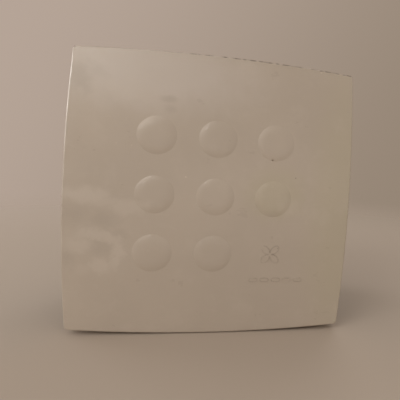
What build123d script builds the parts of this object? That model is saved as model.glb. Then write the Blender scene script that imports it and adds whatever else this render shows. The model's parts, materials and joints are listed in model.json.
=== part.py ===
from build123d import *
import math
import os

# Recessed bathroom extractor fan: a box let into the wall, a centrifugal fan module screwed inside it,
# a round duct spigot with a two-leaf back-draught flap on top, a washable filter, and a square cover
# that stands off the wall so that air is drawn in all round its edge.
#
# Frame, in millimetres: the wall's face is the plane y = 0, with the room on the -Y side of it and the recess
# on the +Y side. Seen from the room, +X is to the right and +Z is up. The origin is the centre of the
# recess mouth.

# ---- driving dimensions: cover ----
COVER_SIDE = 220.0          # corner to corner along one side
COVER_BULGE = 4.0           # how far the middle of each side bows out
COVER_CORNER_R = 3.5
COVER_WALL = 2.2
COVER_RIM_Y = -12.0         # back edge of the skirt
COVER_APEX_Y = -27.5        # front of the crowned face, at its centre
CROWN_R = 3200.0            # radius of the crown
COVER_EDGE_R = 1.3          # rounding between face and skirt
BUMP_PITCH = 47.0
BUMP_R = 15.0               # radius of a bump's foot
BUMP_FLAT_R = 7.0           # flat middle of a bump, inside its round shoulder
BUMP_HEIGHT = 1.25
BUMP_FOOT_R = 0.8           # blend round a bump's foot
MARK_HEIGHT = 0.45
POST_XZ = 89.5              # cover posts and frame sockets
POST_R = 3.9
POST_SHOULDER_R = 5.2
POST_TIP_Y = 5.0
POST_SLOT = 1.2
RIB_XZ = 72.0               # stiffening ribs behind the face
RIB_T = 1.4
RIB_BACK_Y = -18.0
RIB_HALF = 104.0
MARK_DASHES = 5
MARK_DASH_PITCH = 9.5
MARK_DASH_X = 34.0
MARK_DASH_Z = -69.0

# ---- driving dimensions: intake frame and filter ----
FRAME_SIDE = 208.0
FRAME_BULGE = 3.5
FRAME_CORNER_R = 7.0
FRAME_FRONT_Y = -5.0
FRAME_BACK_Y = -2.0
SOCKET_FRONT_Y = -6.0
SOCKET_BACK_Y = 9.0
SOCKET_R = 6.0
SOCKET_BORE_R = 4.05
GUARD_OPENING_R = 67.0
GUARD_RINGS = (14.0, 27.0, 40.0, 53.0)
GUARD_BAR = 2.4
GUARD_SPOKES = 8
GUARD_HUB_R = 8.0
INTAKE_COLLAR_BACK_Y = 10.0
FENCE_T = 1.6               # low wall that locates the filter
FENCE_FRONT_Y = -7.5
LIP_T = 1.5                 # lip that centres the frame in the box
LIP_BACK_Y = 4.0
LIP_CORNER_R = 4.5
FRAME_SCREW_HOLE_R = 1.65
FRAME_SCREW_HEAD_R = 3.4
FILTER_SIDE = 158.0
FILTER_WINDOW = 150.0
FILTER_FRONT_Y = -10.0
MAT_FRONT_Y = -9.2
MAT_BACK_Y = -6.2
MAT_SIDE = 149.0
FILTER_RIB_T = 1.4
FILTER_RIBS = 5
FILTER_CROSS_T = 1.8
TAB_XZ = 77.0
TAB_LENGTH = 4.0
TAB_HALF = 11.0
FRAME_SCREW_XZ = 91.0       # intake frame screws, at the middle of each side

# ---- driving dimensions: recess box ----
BOX_SIDE = 198.0
BOX_DEPTH = 112.0
BOX_WALL = 2.5
BOX_CORNER_R = 5.0
BOX_IN = BOX_SIDE / 2 - BOX_WALL
BOX_IN_BACK_Y = BOX_DEPTH - BOX_WALL
BOX_CORNER_IN_R = 3.0
FLANGE_SIDE = 217.0
FLANGE_CORNER_R = 6.0
FLANGE_HOLE_XZ = 104.0      # fixing holes in the flange's corners, clear of the intake frame
FLANGE_HOLE_R = 2.25
FLANGE_FRONT_Y = -2.0
BOX_BAND_Y = (34.0, 73.0)   # two bands round the outside of the box
BOX_BAND_T = 2.4
BOX_RIB_AT = (-66.0, -33.0, 0.0, 33.0, 66.0)
BOX_RIB_HEIGHT = 1.6
BOX_RIB_T = 1.8
BACK_POCKET = 0.8           # depth of the pockets that leave ribs standing on the back
BACK_BORDER = 9.0
BACK_RIB_T = 3.0
BACK_RING_R = (36.0, 40.0)
BACK_PAD_R = 9.0            # flush pads round the wall fixing holes
FRAME_BOSS_BACK_Y = 14.0
CORNER_POST = 12.5          # square posts in the box's corners
CORNER_SCREW_XZ = 88.5
WALL_FIXING_XZ = 70.0       # four holes through the back wall
WALL_FIXING_R = 2.75

# ---- driving dimensions: fan axis, deck and volute ----
AXIS_X = -9.0
AXIS_Z = -3.0
DECK_FRONT_Y = 22.0
DECK_BACK_Y = 25.0
DECK_HALF = 95.0
DECK_TOP_Z = 94.5
BELL_THROAT_R = 51.0
BELL_RADIUS = 13.5          # radius of the rounded inlet lip
BELL_WALL = 2.0
BELL_END_Y = 26.5
SCROLL_R0 = 66.0            # flow radius at the tongue
SCROLL_R1 = 90.0            # flow radius where the outlet begins
SCROLL_WALL = 2.0
SCROLL_STEPS = 24
VOLUTE_BACK_Y = 86.0
VOLUTE_FLOOR_Y = 83.0
OUTLET_LEFT = 11.0
OUTLET_RIGHT = 81.0
MOTOR_OPENING_R = 45.0
BOSS_SCREW_R = 1.5
BOSS_R = 4.0
VOLUTE_BOSS_ANGLES = (130.0, 185.0, 255.0, 300.0)
VOLUTE_BOSS_OFFSET = 5.0    # boss centre outside the flow surface

# ---- driving dimensions: impeller ----
BLADES = 38
BLADE_IN_R = 50.5
BLADE_OUT_R = 61.8
BLADE_LEAN = 9.0            # degrees the tip leads the root
BLADE_THICK_DEG = 1.25
BLADE_FRONT_Y = 29.5
BACKPLATE_Y = 75.5
BACKPLATE_T = 2.0
CUP_R = 47.5
CUP_WALL = 2.0
CUP_FRONT_Y = 42.0
HUB_R = 8.0
HUB_FRONT_Y = 36.0
HUB_BACK_Y = 48.5

# ---- driving dimensions: motor ----
SHAFT_R = 3.0
SHAFT_FRONT_Y = 29.0
SHAFT_BACK_Y = 103.5
STACK_FRONT_Y = 68.0
STACK_BACK_Y = 88.0
STACK_HALF = 36.0
STACK_CORNER_R = 43.0
YOKE_IN_R = 31.0
POLES = 4
POLE_WIDTH = 11.0
POLE_SHOE_R = 22.0
POLE_SHOE_DEG = 72.0
STATOR_BORE_R = 18.5
ROTOR_R = 18.0
BOLT_R = 38.5               # through-bolts, on the stack's diagonals
BOLT_HOLE_R = 2.1
COIL_SIDE_T = 5.0
BOBBIN_T = 0.8
COIL_IN_R = 22.6
COIL_OUT_R = 28.9
CAGE_BARS = 18
CAGE_RING_T = 4.0
MOTOR_PLATE_T = 1.5
MOTOR_PLATE_R = 56.0
BUSH_RING_R = 49.5

# ---- driving dimensions: ball bearings (6 x 19 x 6) ----
BEARING_OUT_R = 9.5
BEARING_WIDTH = 6.0
BEARING_PITCH_R = 6.3
BALL_R = 1.75
BALLS = 7
BALL_PLAY = 0.03
FRONT_BEARING_Y = 52.0
REAR_BEARING_Y = 98.0

# ---- driving dimensions: duct spigot and flap ----
SPIGOT_X = (OUTLET_LEFT + OUTLET_RIGHT) / 2
SPIGOT_Y = 57.0
SPIGOT_R = 39.0
SPIGOT_WALL = 2.5
SPIGOT_FOOT_Z = BOX_SIDE / 2
SPIGOT_FLANGE_T = 3.0
SPIGOT_FLANGE_HALF = 44.0
SPIGOT_SCREW_OFFSET = 38.5
SPIGOT_TOP_Z = 122.0
SEAT_Z = 105.0
SEAT_T = 2.0
SEAT_R = 34.0
BAR_HEIGHT = 5.0
CHEEK_HEIGHT = 5.4
FLAP_R = 35.6
FLAP_T = 1.4
FLAP_LIFT = 0.05            # leaf rests this far above its seat
PIN_R = 1.25
PIN_HOLE_R = 1.3
PIN_Z = SEAT_Z + 2.9
KNUCKLE_R = 2.5
KNUCKLE_LENGTH = 7.0
KNUCKLES_RIGHT = (-25.0, -8.5, 8.5, 25.0)
KNUCKLES_LEFT = (-16.75, 0.0, 16.75)

# ---- driving dimensions: wiring ----
GROMMET_BORE_R = 3.6
GROMMET_NECK_R = 6.0
GROMMET_LIP_R = 8.0
GROMMET_LIP_T = 1.8
CABLE_Y = 12.0
CABLE_Z = -40.0
LEAD_R = 1.1
TERMINAL_X = -55.0
TERMINAL_Z = -79.0
TERMINAL_PITCH = 12.4
TERMINAL_SIZE = (36.0, 14.0, 16.0)
LEAD_HOLE_X = -84.0
LEAD_HOLE_Z = -60.0
LEAD_HOLE_R = 4.5

FOUR_CORNERS = ((-1, -1), (1, -1), (1, 1), (-1, 1))
FOUR_SIDES = ((-1, 0), (1, 0), (0, -1), (0, 1))


# ---- shared shapes ----
def corners(offset):
    """Four points, each at plus or minus the offset both ways."""
    return [(sx * offset, sy * offset) for sx, sy in FOUR_CORNERS]


def side_middles(offset):
    """Middles of the four sides of a square, at the offset from its centre."""
    return [(sx * offset, sy * offset) for sx, sy in FOUR_SIDES]


def at_y(y):
    """Sketch plane at depth y, with sketch x along +X and sketch y along +Z."""
    return Plane(origin=(0, y, 0), x_dir=(1, 0, 0), z_dir=(0, -1, 0))


def plate(sketch, y_front, y_back):
    """Extrudes a sketch between two depths."""
    return extrude(at_y(y_back) * sketch, y_back - y_front)


def rod(radius, y_front, y_back, x=0.0, z=0.0):
    """Cylinder along Y."""
    middle = (y_front + y_back) / 2
    return Pos(x, middle, z) * Rot(90, 0, 0) * Cylinder(radius, y_back - y_front)


def tube(radius, bore, y_front, y_back, x=0.0, z=0.0):
    return rod(radius, y_front, y_back, x, z) - rod(bore, y_front, y_back, x, z)


def block(x0, x1, y0, y1, z0, z1):
    """Box between two opposite corners."""
    size = Box(abs(x1 - x0), abs(y1 - y0), abs(z1 - z0))
    return Pos((x0 + x1) / 2, (y0 + y1) / 2, (z0 + z1) / 2) * size


def on_axis(part):
    """Moves a part made about the Y axis onto the fan's axis."""
    return Pos(AXIS_X, 0, AXIS_Z) * part


def about_y(profile):
    """Turns a sketch of (radius, depth) points about the Y axis."""
    return revolve(profile, Axis.Y, 360)


def ring_of(part, count, start=0.0):
    """Copies of a part, evenly spaced about the Y axis."""
    return [Rot(0, start + i * 360 / count, 0) * part for i in range(count)]


def pillow(side, bulge, corner_r):
    """Square outline whose four sides bow outward, with rounded corners."""
    half = side / 2
    middle = half + bulge
    corners = [(-half, -half), (half, -half), (half, half), (-half, half)]
    middles = [(0, -middle), (middle, 0), (0, middle), (-middle, 0)]
    sides = [ThreePointArc(corners[i], middles[i], corners[(i + 1) % 4]) for i in range(4)]
    face = make_face(sides)
    return fillet(face.vertices(), corner_r)


def group(parts):
    """Several solids kept apart in one node."""
    solids = []
    for part in parts:
        solids += part.solids()
    return Compound(solids)


def polar(radius, degrees):
    """Point at a radius and an angle in degrees."""
    a = math.radians(degrees)
    return (radius * math.cos(a), radius * math.sin(a))


# ---- fasteners: made with the head up along +Z and its seat at z = 0 ----
def pan_screw(shank_r, length, head_r, head_h, slot_w=0.9):
    """Pan-head screw with a cross recess."""
    head = Pos(0, 0, head_h / 2) * Cylinder(head_r, head_h)
    head = fillet(head.edges().sort_by(Axis.Z)[-1], head_h * 0.55)
    shank = Pos(0, 0, -length / 2) * Cylinder(shank_r, length)
    shank = chamfer(shank.edges().sort_by(Axis.Z)[0], shank_r * 0.5)
    recess = Box(head_r * 1.3, slot_w, head_h) + Box(slot_w, head_r * 1.3, head_h)
    return head + shank - Pos(0, 0, head_h) * recess


def countersunk_screw(shank_r, length, head_r, slot_w=0.9):
    """Countersunk screw whose flat head is flush with z = 0."""
    head = Pos(0, 0, -(head_r - shank_r) / 2) * Cone(shank_r, head_r, head_r - shank_r)
    shank = Pos(0, 0, -length / 2) * Cylinder(shank_r, length)
    shank = chamfer(shank.edges().sort_by(Axis.Z)[0], shank_r * 0.5)
    recess = Box(head_r * 1.3, slot_w, head_r) + Box(slot_w, head_r * 1.3, head_r)
    return head + shank - recess


def slotted_screw(shank_r, length, head_r, head_h):
    """Cheese-head screw with a single slot."""
    head = Pos(0, 0, head_h / 2) * Cylinder(head_r, head_h)
    shank = Pos(0, 0, -length / 2) * Cylinder(shank_r, length)
    return head + shank - Pos(0, 0, head_h) * Box(head_r * 2, head_r * 0.35, head_h)


def hex_prism(across_flats, height):
    return extrude(RegularPolygon(across_flats / 2, 6, major_radius=False), height)


def facing_room(part, x, y, z):
    """Places a fastener so that its head faces the room and its seat is at depth y."""
    return Pos(x, y, z) * Rot(90, 0, 0) * part


def facing_wall(part, x, y, z):
    """Places a fastener so that its head faces the back of the recess."""
    return Pos(x, y, z) * Rot(-90, 0, 0) * part


# ---- front cover ----
def crown_y(x, z, apex):
    """Depth of the crowned face at a point."""
    return apex + CROWN_R - math.sqrt(CROWN_R ** 2 - x * x - z * z)


def crowned_block(inset, apex, rim):
    """The cover's solid envelope, inset from its outer surface."""
    outline = pillow(COVER_SIDE - 2 * inset, COVER_BULGE, COVER_CORNER_R - inset)
    crown = Pos(0, apex + CROWN_R, 0) * Sphere(CROWN_R)
    return plate(outline, apex - 5, rim) & crown


def button(shoulder_r, top, bottom):
    """Solid of revolution about Z with a flat middle and a round shoulder that runs down past its foot."""
    centre = top - shoulder_r
    end = math.acos((bottom - centre) / shoulder_r)
    turns = (0, end / 2, end)
    rim = [(BUMP_FLAT_R + shoulder_r * math.sin(a), centre + shoulder_r * math.cos(a)) for a in turns]
    profile = Polyline(rim[0], (0, top), (0, bottom), rim[2]) + ThreePointArc(*rim)
    return revolve(make_face(Plane.XZ * profile), Axis.Z)


def bump(x, z):
    """Outer form and hollow of one bump, square to the crowned face."""
    shoulder = BUMP_R - BUMP_FLAT_R
    shoulder_r = (shoulder ** 2 + BUMP_HEIGHT ** 2) / (2 * BUMP_HEIGHT)
    foot = (x, crown_y(x, z, COVER_APEX_Y), z)
    outward = (x, foot[1] - COVER_APEX_Y - CROWN_R, z)
    seat = Plane(origin=foot, z_dir=outward)
    outer = button(shoulder_r, BUMP_HEIGHT, -COVER_WALL / 4)
    hollow = button(shoulder_r - COVER_WALL, BUMP_HEIGHT - COVER_WALL, -COVER_WALL - 1)
    return seat * outer, seat * hollow


def fan_mark():
    """Small raised pictogram of four fan blades, with a row of plain dashes below it."""
    blade = Pos(0, 5.4) * Ellipse(2.6, 4.2)
    blades = [Rot(0, 0, 45 + i * 90) * blade for i in range(4)]
    icon = Pos(BUMP_PITCH, -BUMP_PITCH) * (Circle(1.6) + blades)
    steps = range(MARK_DASHES)
    dashes = [Pos(MARK_DASH_X + i * MARK_DASH_PITCH, MARK_DASH_Z) * SlotOverall(7.0, 3.0) for i in steps]
    raised = Pos(0, COVER_APEX_Y + CROWN_R, 0) * Sphere(CROWN_R + MARK_HEIGHT)
    return [plate(shape, COVER_APEX_Y - 2, COVER_APEX_Y + COVER_WALL) & raised for shape in [icon] + dashes]


def front_cover():
    outer = crowned_block(0, COVER_APEX_Y, COVER_RIM_Y)
    outer = fillet(outer.faces().sort_by(Axis.Y)[0].edges(), COVER_EDGE_R)
    inner = crowned_block(COVER_WALL, COVER_APEX_Y + COVER_WALL, COVER_RIM_Y + 1)
    steps = (-BUMP_PITCH, 0, BUMP_PITCH)
    spots = [(x, z) for x in steps for z in steps if (x, z) != (BUMP_PITCH, -BUMP_PITCH)]
    bumps = [bump(x, z) for x, z in spots]
    skin = outer + [form for form, _ in bumps]
    feet = [edge for edge in skin.edges() if abs(edge.length - 2 * math.pi * BUMP_R) < BUMP_FOOT_R]
    skin = fillet(feet, BUMP_FOOT_R)
    shell = skin - inner - [hollow for _, hollow in bumps]
    return shell + fan_mark() + cover_posts() + cover_ribs()


def cover_posts():
    """Four split posts that push into the frame's sockets; a shoulder sets how far the cover stands off."""
    posts = []
    slot = POST_SLOT / 2
    for x, z in corners(POST_XZ):
        root = crown_y(x, z, COVER_APEX_Y) + COVER_WALL / 2
        tip = rod(POST_R, SOCKET_FRONT_Y - 1, POST_TIP_Y, x, z)
        tip = chamfer(tip.edges().sort_by(Axis.Y)[-1], 1.0)
        post = rod(POST_SHOULDER_R, root, SOCKET_FRONT_Y, x, z) + tip
        posts.append(post - block(x - slot, x + slot, -4, POST_TIP_Y + 1, z - 6, z + 6))
    return posts


def cover_ribs():
    """Stiffening ribs behind the face, clear of the bumps."""
    ribs = []
    front = COVER_APEX_Y + COVER_WALL / 2 + 1
    for at in (-RIB_XZ, RIB_XZ):
        low, high = at - RIB_T / 2, at + RIB_T / 2
        ribs.append(block(low, high, front, RIB_BACK_Y, -RIB_HALF, RIB_HALF))
        ribs.append(block(-RIB_HALF, RIB_HALF, front, RIB_BACK_Y, low, high))
    envelope = crowned_block(COVER_WALL / 2, COVER_APEX_Y + COVER_WALL / 2, COVER_RIM_Y)
    return [rib & envelope for rib in ribs]


# ---- intake frame and filter ----
def finger_guard():
    """Rings and spokes across the intake opening."""
    half = GUARD_BAR / 2
    rings = [tube(r + 1, r - 1, FRAME_FRONT_Y + 0.4, FRAME_BACK_Y) for r in GUARD_RINGS]
    bar = block(0, GUARD_OPENING_R + 0.5, FRAME_FRONT_Y, FRAME_BACK_Y, -half, half)
    hub = rod(GUARD_HUB_R, FRAME_FRONT_Y, FRAME_BACK_Y)
    return [on_axis(part) for part in rings + ring_of(bar, GUARD_SPOKES, 22.5) + [hub]]


def square_ring(inner_side, wall, y_front, y_back):
    """Thin square wall round a square space."""
    outer_side = inner_side + 2 * wall
    return plate(Rectangle(outer_side, outer_side) - Rectangle(inner_side, inner_side), y_front, y_back)


def centring_lip():
    """Lip that fits inside the box, broken where the screw bosses stand."""
    outer = 2 * (BOX_IN - 0.4)
    inner = outer - 2 * LIP_T
    outline = RectangleRounded(outer, outer, LIP_CORNER_R) - Rectangle(inner, inner)
    gaps = [rod(BOSS_R + 2.5, FRAME_BACK_Y, LIP_BACK_Y + 1, x, z) for x, z in side_middles(FRAME_SCREW_XZ)]
    return plate(outline, FRAME_BACK_Y - 0.5, LIP_BACK_Y) - gaps


def intake_frame():
    body = plate(pillow(FRAME_SIDE, FRAME_BULGE, FRAME_CORNER_R), FRAME_FRONT_Y, FRAME_BACK_Y)
    body -= on_axis(rod(GUARD_OPENING_R, FRAME_FRONT_Y, FRAME_BACK_Y))
    collar = on_axis(tube(GUARD_OPENING_R + 2, GUARD_OPENING_R, FRAME_BACK_Y - 0.5, INTAKE_COLLAR_BACK_Y))
    fence = square_ring(FILTER_SIDE + 0.8, FENCE_T, FENCE_FRONT_Y, FRAME_FRONT_Y + 0.5)
    sockets = [rod(SOCKET_R, SOCKET_FRONT_Y, SOCKET_BACK_Y, x, z) for x, z in corners(POST_XZ)]
    body = body + finger_guard() + collar + fence + centring_lip() + sockets
    holes = [rod(SOCKET_BORE_R, SOCKET_FRONT_Y, SOCKET_BACK_Y, x, z) for x, z in corners(POST_XZ)]
    countersink = Pos(0, 0, -1) * Cone(FRAME_SCREW_HOLE_R, FRAME_SCREW_HOLE_R + 2, 2)
    for x, z in side_middles(FRAME_SCREW_XZ):
        holes.append(rod(FRAME_SCREW_HOLE_R, FRAME_FRONT_Y, FRAME_BACK_Y, x, z))
        holes.append(facing_room(countersink, x, FRAME_FRONT_Y, z))
    return body - holes


def intake_frame_screws():
    screw = countersunk_screw(1.45, 13, FRAME_SCREW_HEAD_R)
    return group(facing_room(screw, x, FRAME_FRONT_Y + 0.15, z) for x, z in side_middles(FRAME_SCREW_XZ))


def filter_frame():
    """Square frame with a grid behind the mat, a cross in front of it and two pull tabs."""
    frame = square_ring(FILTER_WINDOW, (FILTER_SIDE - FILTER_WINDOW) / 2, FILTER_FRONT_Y, FRAME_FRONT_Y)
    reach = FILTER_WINDOW / 2 + 1
    half = FILTER_RIB_T / 2
    for i in range(FILTER_RIBS):
        at = (i + 1) * FILTER_WINDOW / (FILTER_RIBS + 1) - FILTER_WINDOW / 2
        frame += block(at - half, at + half, MAT_BACK_Y, FRAME_FRONT_Y, -reach, reach)
        frame += block(-reach, reach, MAT_BACK_Y, FRAME_FRONT_Y, at - half, at + half)
    half = FILTER_CROSS_T / 2
    frame += block(-half, half, FILTER_FRONT_Y, MAT_FRONT_Y, -reach, reach)
    frame += block(-reach, reach, FILTER_FRONT_Y, MAT_FRONT_Y, -half, half)
    for at in (-TAB_XZ, TAB_XZ):
        tab = block(at - half, at + half, FILTER_FRONT_Y - TAB_LENGTH, FILTER_FRONT_Y, -TAB_HALF, TAB_HALF)
        frame += fillet(tab.edges().filter_by(Axis.X).group_by(Axis.Y)[0], 1.8)
    return frame


def filter_mat():
    return plate(RectangleRounded(MAT_SIDE, MAT_SIDE, 2.0), MAT_FRONT_Y, MAT_BACK_Y)


# ---- recess box ----
def box_shell():
    """Open box with its flange, two outer bands and outer ribs."""
    body = plate(RectangleRounded(BOX_SIDE, BOX_SIDE, BOX_CORNER_R), FLANGE_FRONT_Y, BOX_DEPTH)
    body = fillet(body.faces().sort_by(Axis.Y)[-1].edges(), 2.0)
    body += plate(RectangleRounded(FLANGE_SIDE, FLANGE_SIDE, FLANGE_CORNER_R), FLANGE_FRONT_Y, 0)
    for y in BOX_BAND_Y:
        band = RectangleRounded(BOX_SIDE + 4, BOX_SIDE + 4, BOX_CORNER_R + 2)
        body += plate(band, y - BOX_BAND_T / 2, y + BOX_BAND_T / 2)
    half = BOX_RIB_T / 2
    near = BOX_SIDE / 2 - 1
    far = BOX_SIDE / 2 + BOX_RIB_HEIGHT
    for at in BOX_RIB_AT:
        body += block(near, far, 26, 104, at - half, at + half)
        body += block(-far, -near, 26, 104, at - half, at + half)
        body += block(at - half, at + half, 26, 104, -far, -near)
    seat = SPIGOT_FLANGE_HALF + 1
    left, right = SPIGOT_X - seat, SPIGOT_X + seat
    body -= block(left, right, SPIGOT_Y - seat, SPIGOT_Y + seat, SPIGOT_FOOT_Z, far + 2)
    inside = RectangleRounded(2 * BOX_IN, 2 * BOX_IN, BOX_CORNER_IN_R)
    return body - plate(inside, FLANGE_FRONT_Y, BOX_IN_BACK_Y)


def back_pockets():
    """Shallow pockets in the back wall, which leave a border, spokes, a ring and the fixing pads standing."""
    side = BOX_SIDE - 2 * BACK_BORDER
    area = RectangleRounded(side, side, 4.0)
    for angle in (0, 45, 90, 135):
        area -= Rot(0, 0, angle) * Rectangle(2 * side, BACK_RIB_T)
    area -= Circle(BACK_RING_R[1]) - Circle(BACK_RING_R[0])
    for x, z in corners(WALL_FIXING_XZ):
        area -= Pos(x, z) * Circle(BACK_PAD_R)
    return plate(area, BOX_DEPTH - BACK_POCKET, BOX_DEPTH + 1)


def corner_post(sx, sz):
    """Square post in one corner of the box."""
    inner = BOX_IN - CORNER_POST
    outer = BOX_IN + 1
    return block(sx * inner, sx * outer, DECK_BACK_Y, BOX_IN_BACK_Y + 1, sz * inner, sz * outer)


def frame_boss(sx, sz):
    """Boss for an intake frame screw, with a web to the box's wall."""
    at, wall, half = FRAME_SCREW_XZ, BOX_IN + 1, 2.5
    x0, x1 = (sx * at, sx * wall) if sx else (-half, half)
    z0, z1 = (sz * at, sz * wall) if sz else (-half, half)
    web = block(x0, x1, FLANGE_FRONT_Y, FRAME_BOSS_BACK_Y, z0, z1)
    return rod(BOSS_R, FLANGE_FRONT_Y, FRAME_BOSS_BACK_Y, sx * at, sz * at) + web


def recess_box():
    body = box_shell()
    body += [corner_post(sx, sz) for sx, sz in FOUR_CORNERS]
    body += [frame_boss(sx, sz) for sx, sz in FOUR_SIDES]
    body -= [rod(BOSS_SCREW_R, DECK_BACK_Y, DECK_BACK_Y + 16, x, z) for x, z in corners(CORNER_SCREW_XZ)]
    body -= [rod(BOSS_SCREW_R, FLANGE_FRONT_Y, 12, x, z) for x, z in side_middles(FRAME_SCREW_XZ)]
    body -= [rod(WALL_FIXING_R, BOX_IN_BACK_Y, BOX_DEPTH, x, z) for x, z in corners(WALL_FIXING_XZ)]
    body -= [rod(FLANGE_HOLE_R, FLANGE_FRONT_Y, 0, x, z) for x, z in corners(FLANGE_HOLE_XZ)]
    body -= back_pockets()
    body -= block(OUTLET_LEFT, OUTLET_RIGHT, DECK_BACK_Y, VOLUTE_FLOOR_Y, BOX_IN - 1, SPIGOT_FOOT_Z + 1)
    wall_middle = BOX_IN + BOX_WALL / 2
    for x, y in corners(SPIGOT_SCREW_OFFSET):
        body -= Pos(SPIGOT_X + x, SPIGOT_Y + y, wall_middle) * Cylinder(BOSS_SCREW_R, BOX_WALL + 1)
    entry = Pos(-wall_middle, CABLE_Y, CABLE_Z) * Rot(0, 90, 0)
    body -= entry * Cylinder(GROMMET_NECK_R, BOX_WALL + 1)
    score = Cylinder(9.0, 1.2) - Cylinder(7.6, 1.2)
    spare_right = Pos(BOX_SIDE / 2, 14, CABLE_Z) * Rot(0, 90, 0)
    spare_below = Pos(-50, 14, -BOX_SIDE / 2)
    return body - spare_right * score - spare_below * score


def cable_grommet():
    """Rubber grommet seated in the cable entry, with its axis along X."""
    seat = Pos(-BOX_IN - BOX_WALL / 2, CABLE_Y, CABLE_Z) * Rot(0, 90, 0)
    lip = Cylinder(GROMMET_LIP_R, GROMMET_LIP_T)
    offset = (BOX_WALL + GROMMET_LIP_T) / 2
    sleeve = Cylinder(GROMMET_NECK_R, BOX_WALL + 2 * GROMMET_LIP_T)
    sleeve += Pos(0, 0, offset) * lip
    sleeve += Pos(0, 0, -offset) * lip
    return seat * (sleeve - Cylinder(GROMMET_BORE_R, BOX_WALL + 2 * GROMMET_LIP_T))


# ---- duct spigot and back-draught flap ----
def outlet_spigot():
    """Flanged tube with a flap seat, a bar across the seat, and cheeks that hold the flap pin."""
    foot = SPIGOT_FOOT_Z
    height = SPIGOT_TOP_Z - foot
    middle = foot + height / 2
    bore_r = SPIGOT_R - SPIGOT_WALL
    flange = RectangleRounded(2 * SPIGOT_FLANGE_HALF, 2 * SPIGOT_FLANGE_HALF, 6.5)
    body = extrude(Pos(0, 0, foot) * flange, SPIGOT_FLANGE_T)
    body += Pos(0, 0, middle) * Cylinder(SPIGOT_R, height)
    body -= Pos(0, 0, middle) * Cylinder(bore_r, height)
    lip = Cylinder(bore_r + 0.5, SEAT_T) - Cylinder(SEAT_R, SEAT_T)
    body += Pos(0, 0, SEAT_Z - SEAT_T / 2) * lip
    inside = Cylinder(bore_r + 0.5, 20)
    bar = Box(5.6, 2 * bore_r + 1, BAR_HEIGHT) & inside
    body += Pos(0, 0, SEAT_Z - BAR_HEIGHT / 2) * bar
    for s in (-1, 1):
        cheek = (Pos(0, s * (bore_r - 2), 0) * Box(6, 5, CHEEK_HEIGHT)) & inside
        body += Pos(0, 0, SEAT_Z + CHEEK_HEIGHT / 2 - 0.1) * cheek
    body -= Pos(0, 0, PIN_Z) * Rot(90, 0, 0) * Cylinder(PIN_HOLE_R, 2 * bore_r + 2.4)
    body -= [Pos(x, y, foot + 1.5) * Cylinder(1.65, 4) for x, y in corners(SPIGOT_SCREW_OFFSET)]
    rim = body.edges().filter_by(GeomType.CIRCLE).group_by(Axis.Z)[-1]
    return Pos(SPIGOT_X, SPIGOT_Y, 0) * chamfer(rim, 0.7)


def spigot_screws():
    screw = pan_screw(1.45, 5.2, 3.0, 2.0)
    top = SPIGOT_FOOT_Z + SPIGOT_FLANGE_T
    return group(Pos(SPIGOT_X + x, SPIGOT_Y + y, top) * screw for x, y in corners(SPIGOT_SCREW_OFFSET))


def flap_pin():
    length = 2 * (SPIGOT_R - SPIGOT_WALL) + 2
    return Pos(SPIGOT_X, SPIGOT_Y, PIN_Z) * Rot(90, 0, 0) * Cylinder(PIN_R, length)


def flap_leaf(side, knuckles):
    """Half-disc leaf on the given side of the pin, with its knuckles at the given offsets along the pin."""
    bottom = SEAT_Z + FLAP_LIFT
    disc = Pos(0, 0, bottom + FLAP_T / 2) * Cylinder(FLAP_R, FLAP_T)
    leaf = disc & (Pos(side * 50 + side * 3.4, 0, bottom) * Box(100, 100, 10))
    for s in (-1, 1):
        leaf -= Pos(0, s * FLAP_R, bottom) * Box(9, 10, 10)
    rib = Pos(side * 17, 0, bottom + FLAP_T) * Box(24, 1.6, 2.4)
    leaf += rib + Pos(side * 10, 0, bottom + FLAP_T) * Box(1.6, 46, 2.0)
    for at in knuckles:
        tongue = Pos(side * 3.0, at, bottom + FLAP_T / 2) * Box(3.4, KNUCKLE_LENGTH, FLAP_T)
        leaf += Pos(0, at, PIN_Z) * Rot(90, 0, 0) * Cylinder(KNUCKLE_R, KNUCKLE_LENGTH) + tongue
        leaf -= Pos(0, at, PIN_Z) * Rot(90, 0, 0) * Cylinder(PIN_HOLE_R, KNUCKLE_LENGTH)
    return Pos(SPIGOT_X, SPIGOT_Y, 0) * leaf


def outlet_gasket():
    """Foam frame between the top of the volute's outlet and the box."""
    width, depth = OUTLET_RIGHT - OUTLET_LEFT, VOLUTE_FLOOR_Y - DECK_BACK_Y
    ring = Rectangle(width + 5, depth + 5) - Rectangle(width, depth)
    middle = Pos(SPIGOT_X, (DECK_BACK_Y + VOLUTE_FLOOR_Y) / 2, DECK_TOP_Z)
    return extrude(middle * ring, BOX_IN - DECK_TOP_Z)


# ---- inlet deck ----
def volute_boss_spots():
    """Screw positions round the scroll, as (x, z)."""
    spots = []
    for angle in VOLUTE_BOSS_ANGLES:
        r = scroll_radius(angle) + VOLUTE_BOSS_OFFSET
        a = math.radians(angle)
        spots.append((AXIS_X + r * math.cos(a), AXIS_Z + r * math.sin(a)))
    spots.append((OUTLET_RIGHT + VOLUTE_BOSS_OFFSET, 52.0))
    spots.append((OUTLET_LEFT - VOLUTE_BOSS_OFFSET, 82.0))
    return spots


def bell_mouth():
    centre = (BELL_THROAT_R + BELL_RADIUS, BELL_END_Y)
    ring = Pos(*centre) * (Circle(BELL_RADIUS) - Circle(BELL_RADIUS - BELL_WALL))
    quarter = Pos(centre[0] - BELL_RADIUS / 2 - 1, centre[1] - BELL_RADIUS / 2 - 1)
    return on_axis(about_y(ring & (quarter * Rectangle(BELL_RADIUS + 2, BELL_RADIUS + 2))))


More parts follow.
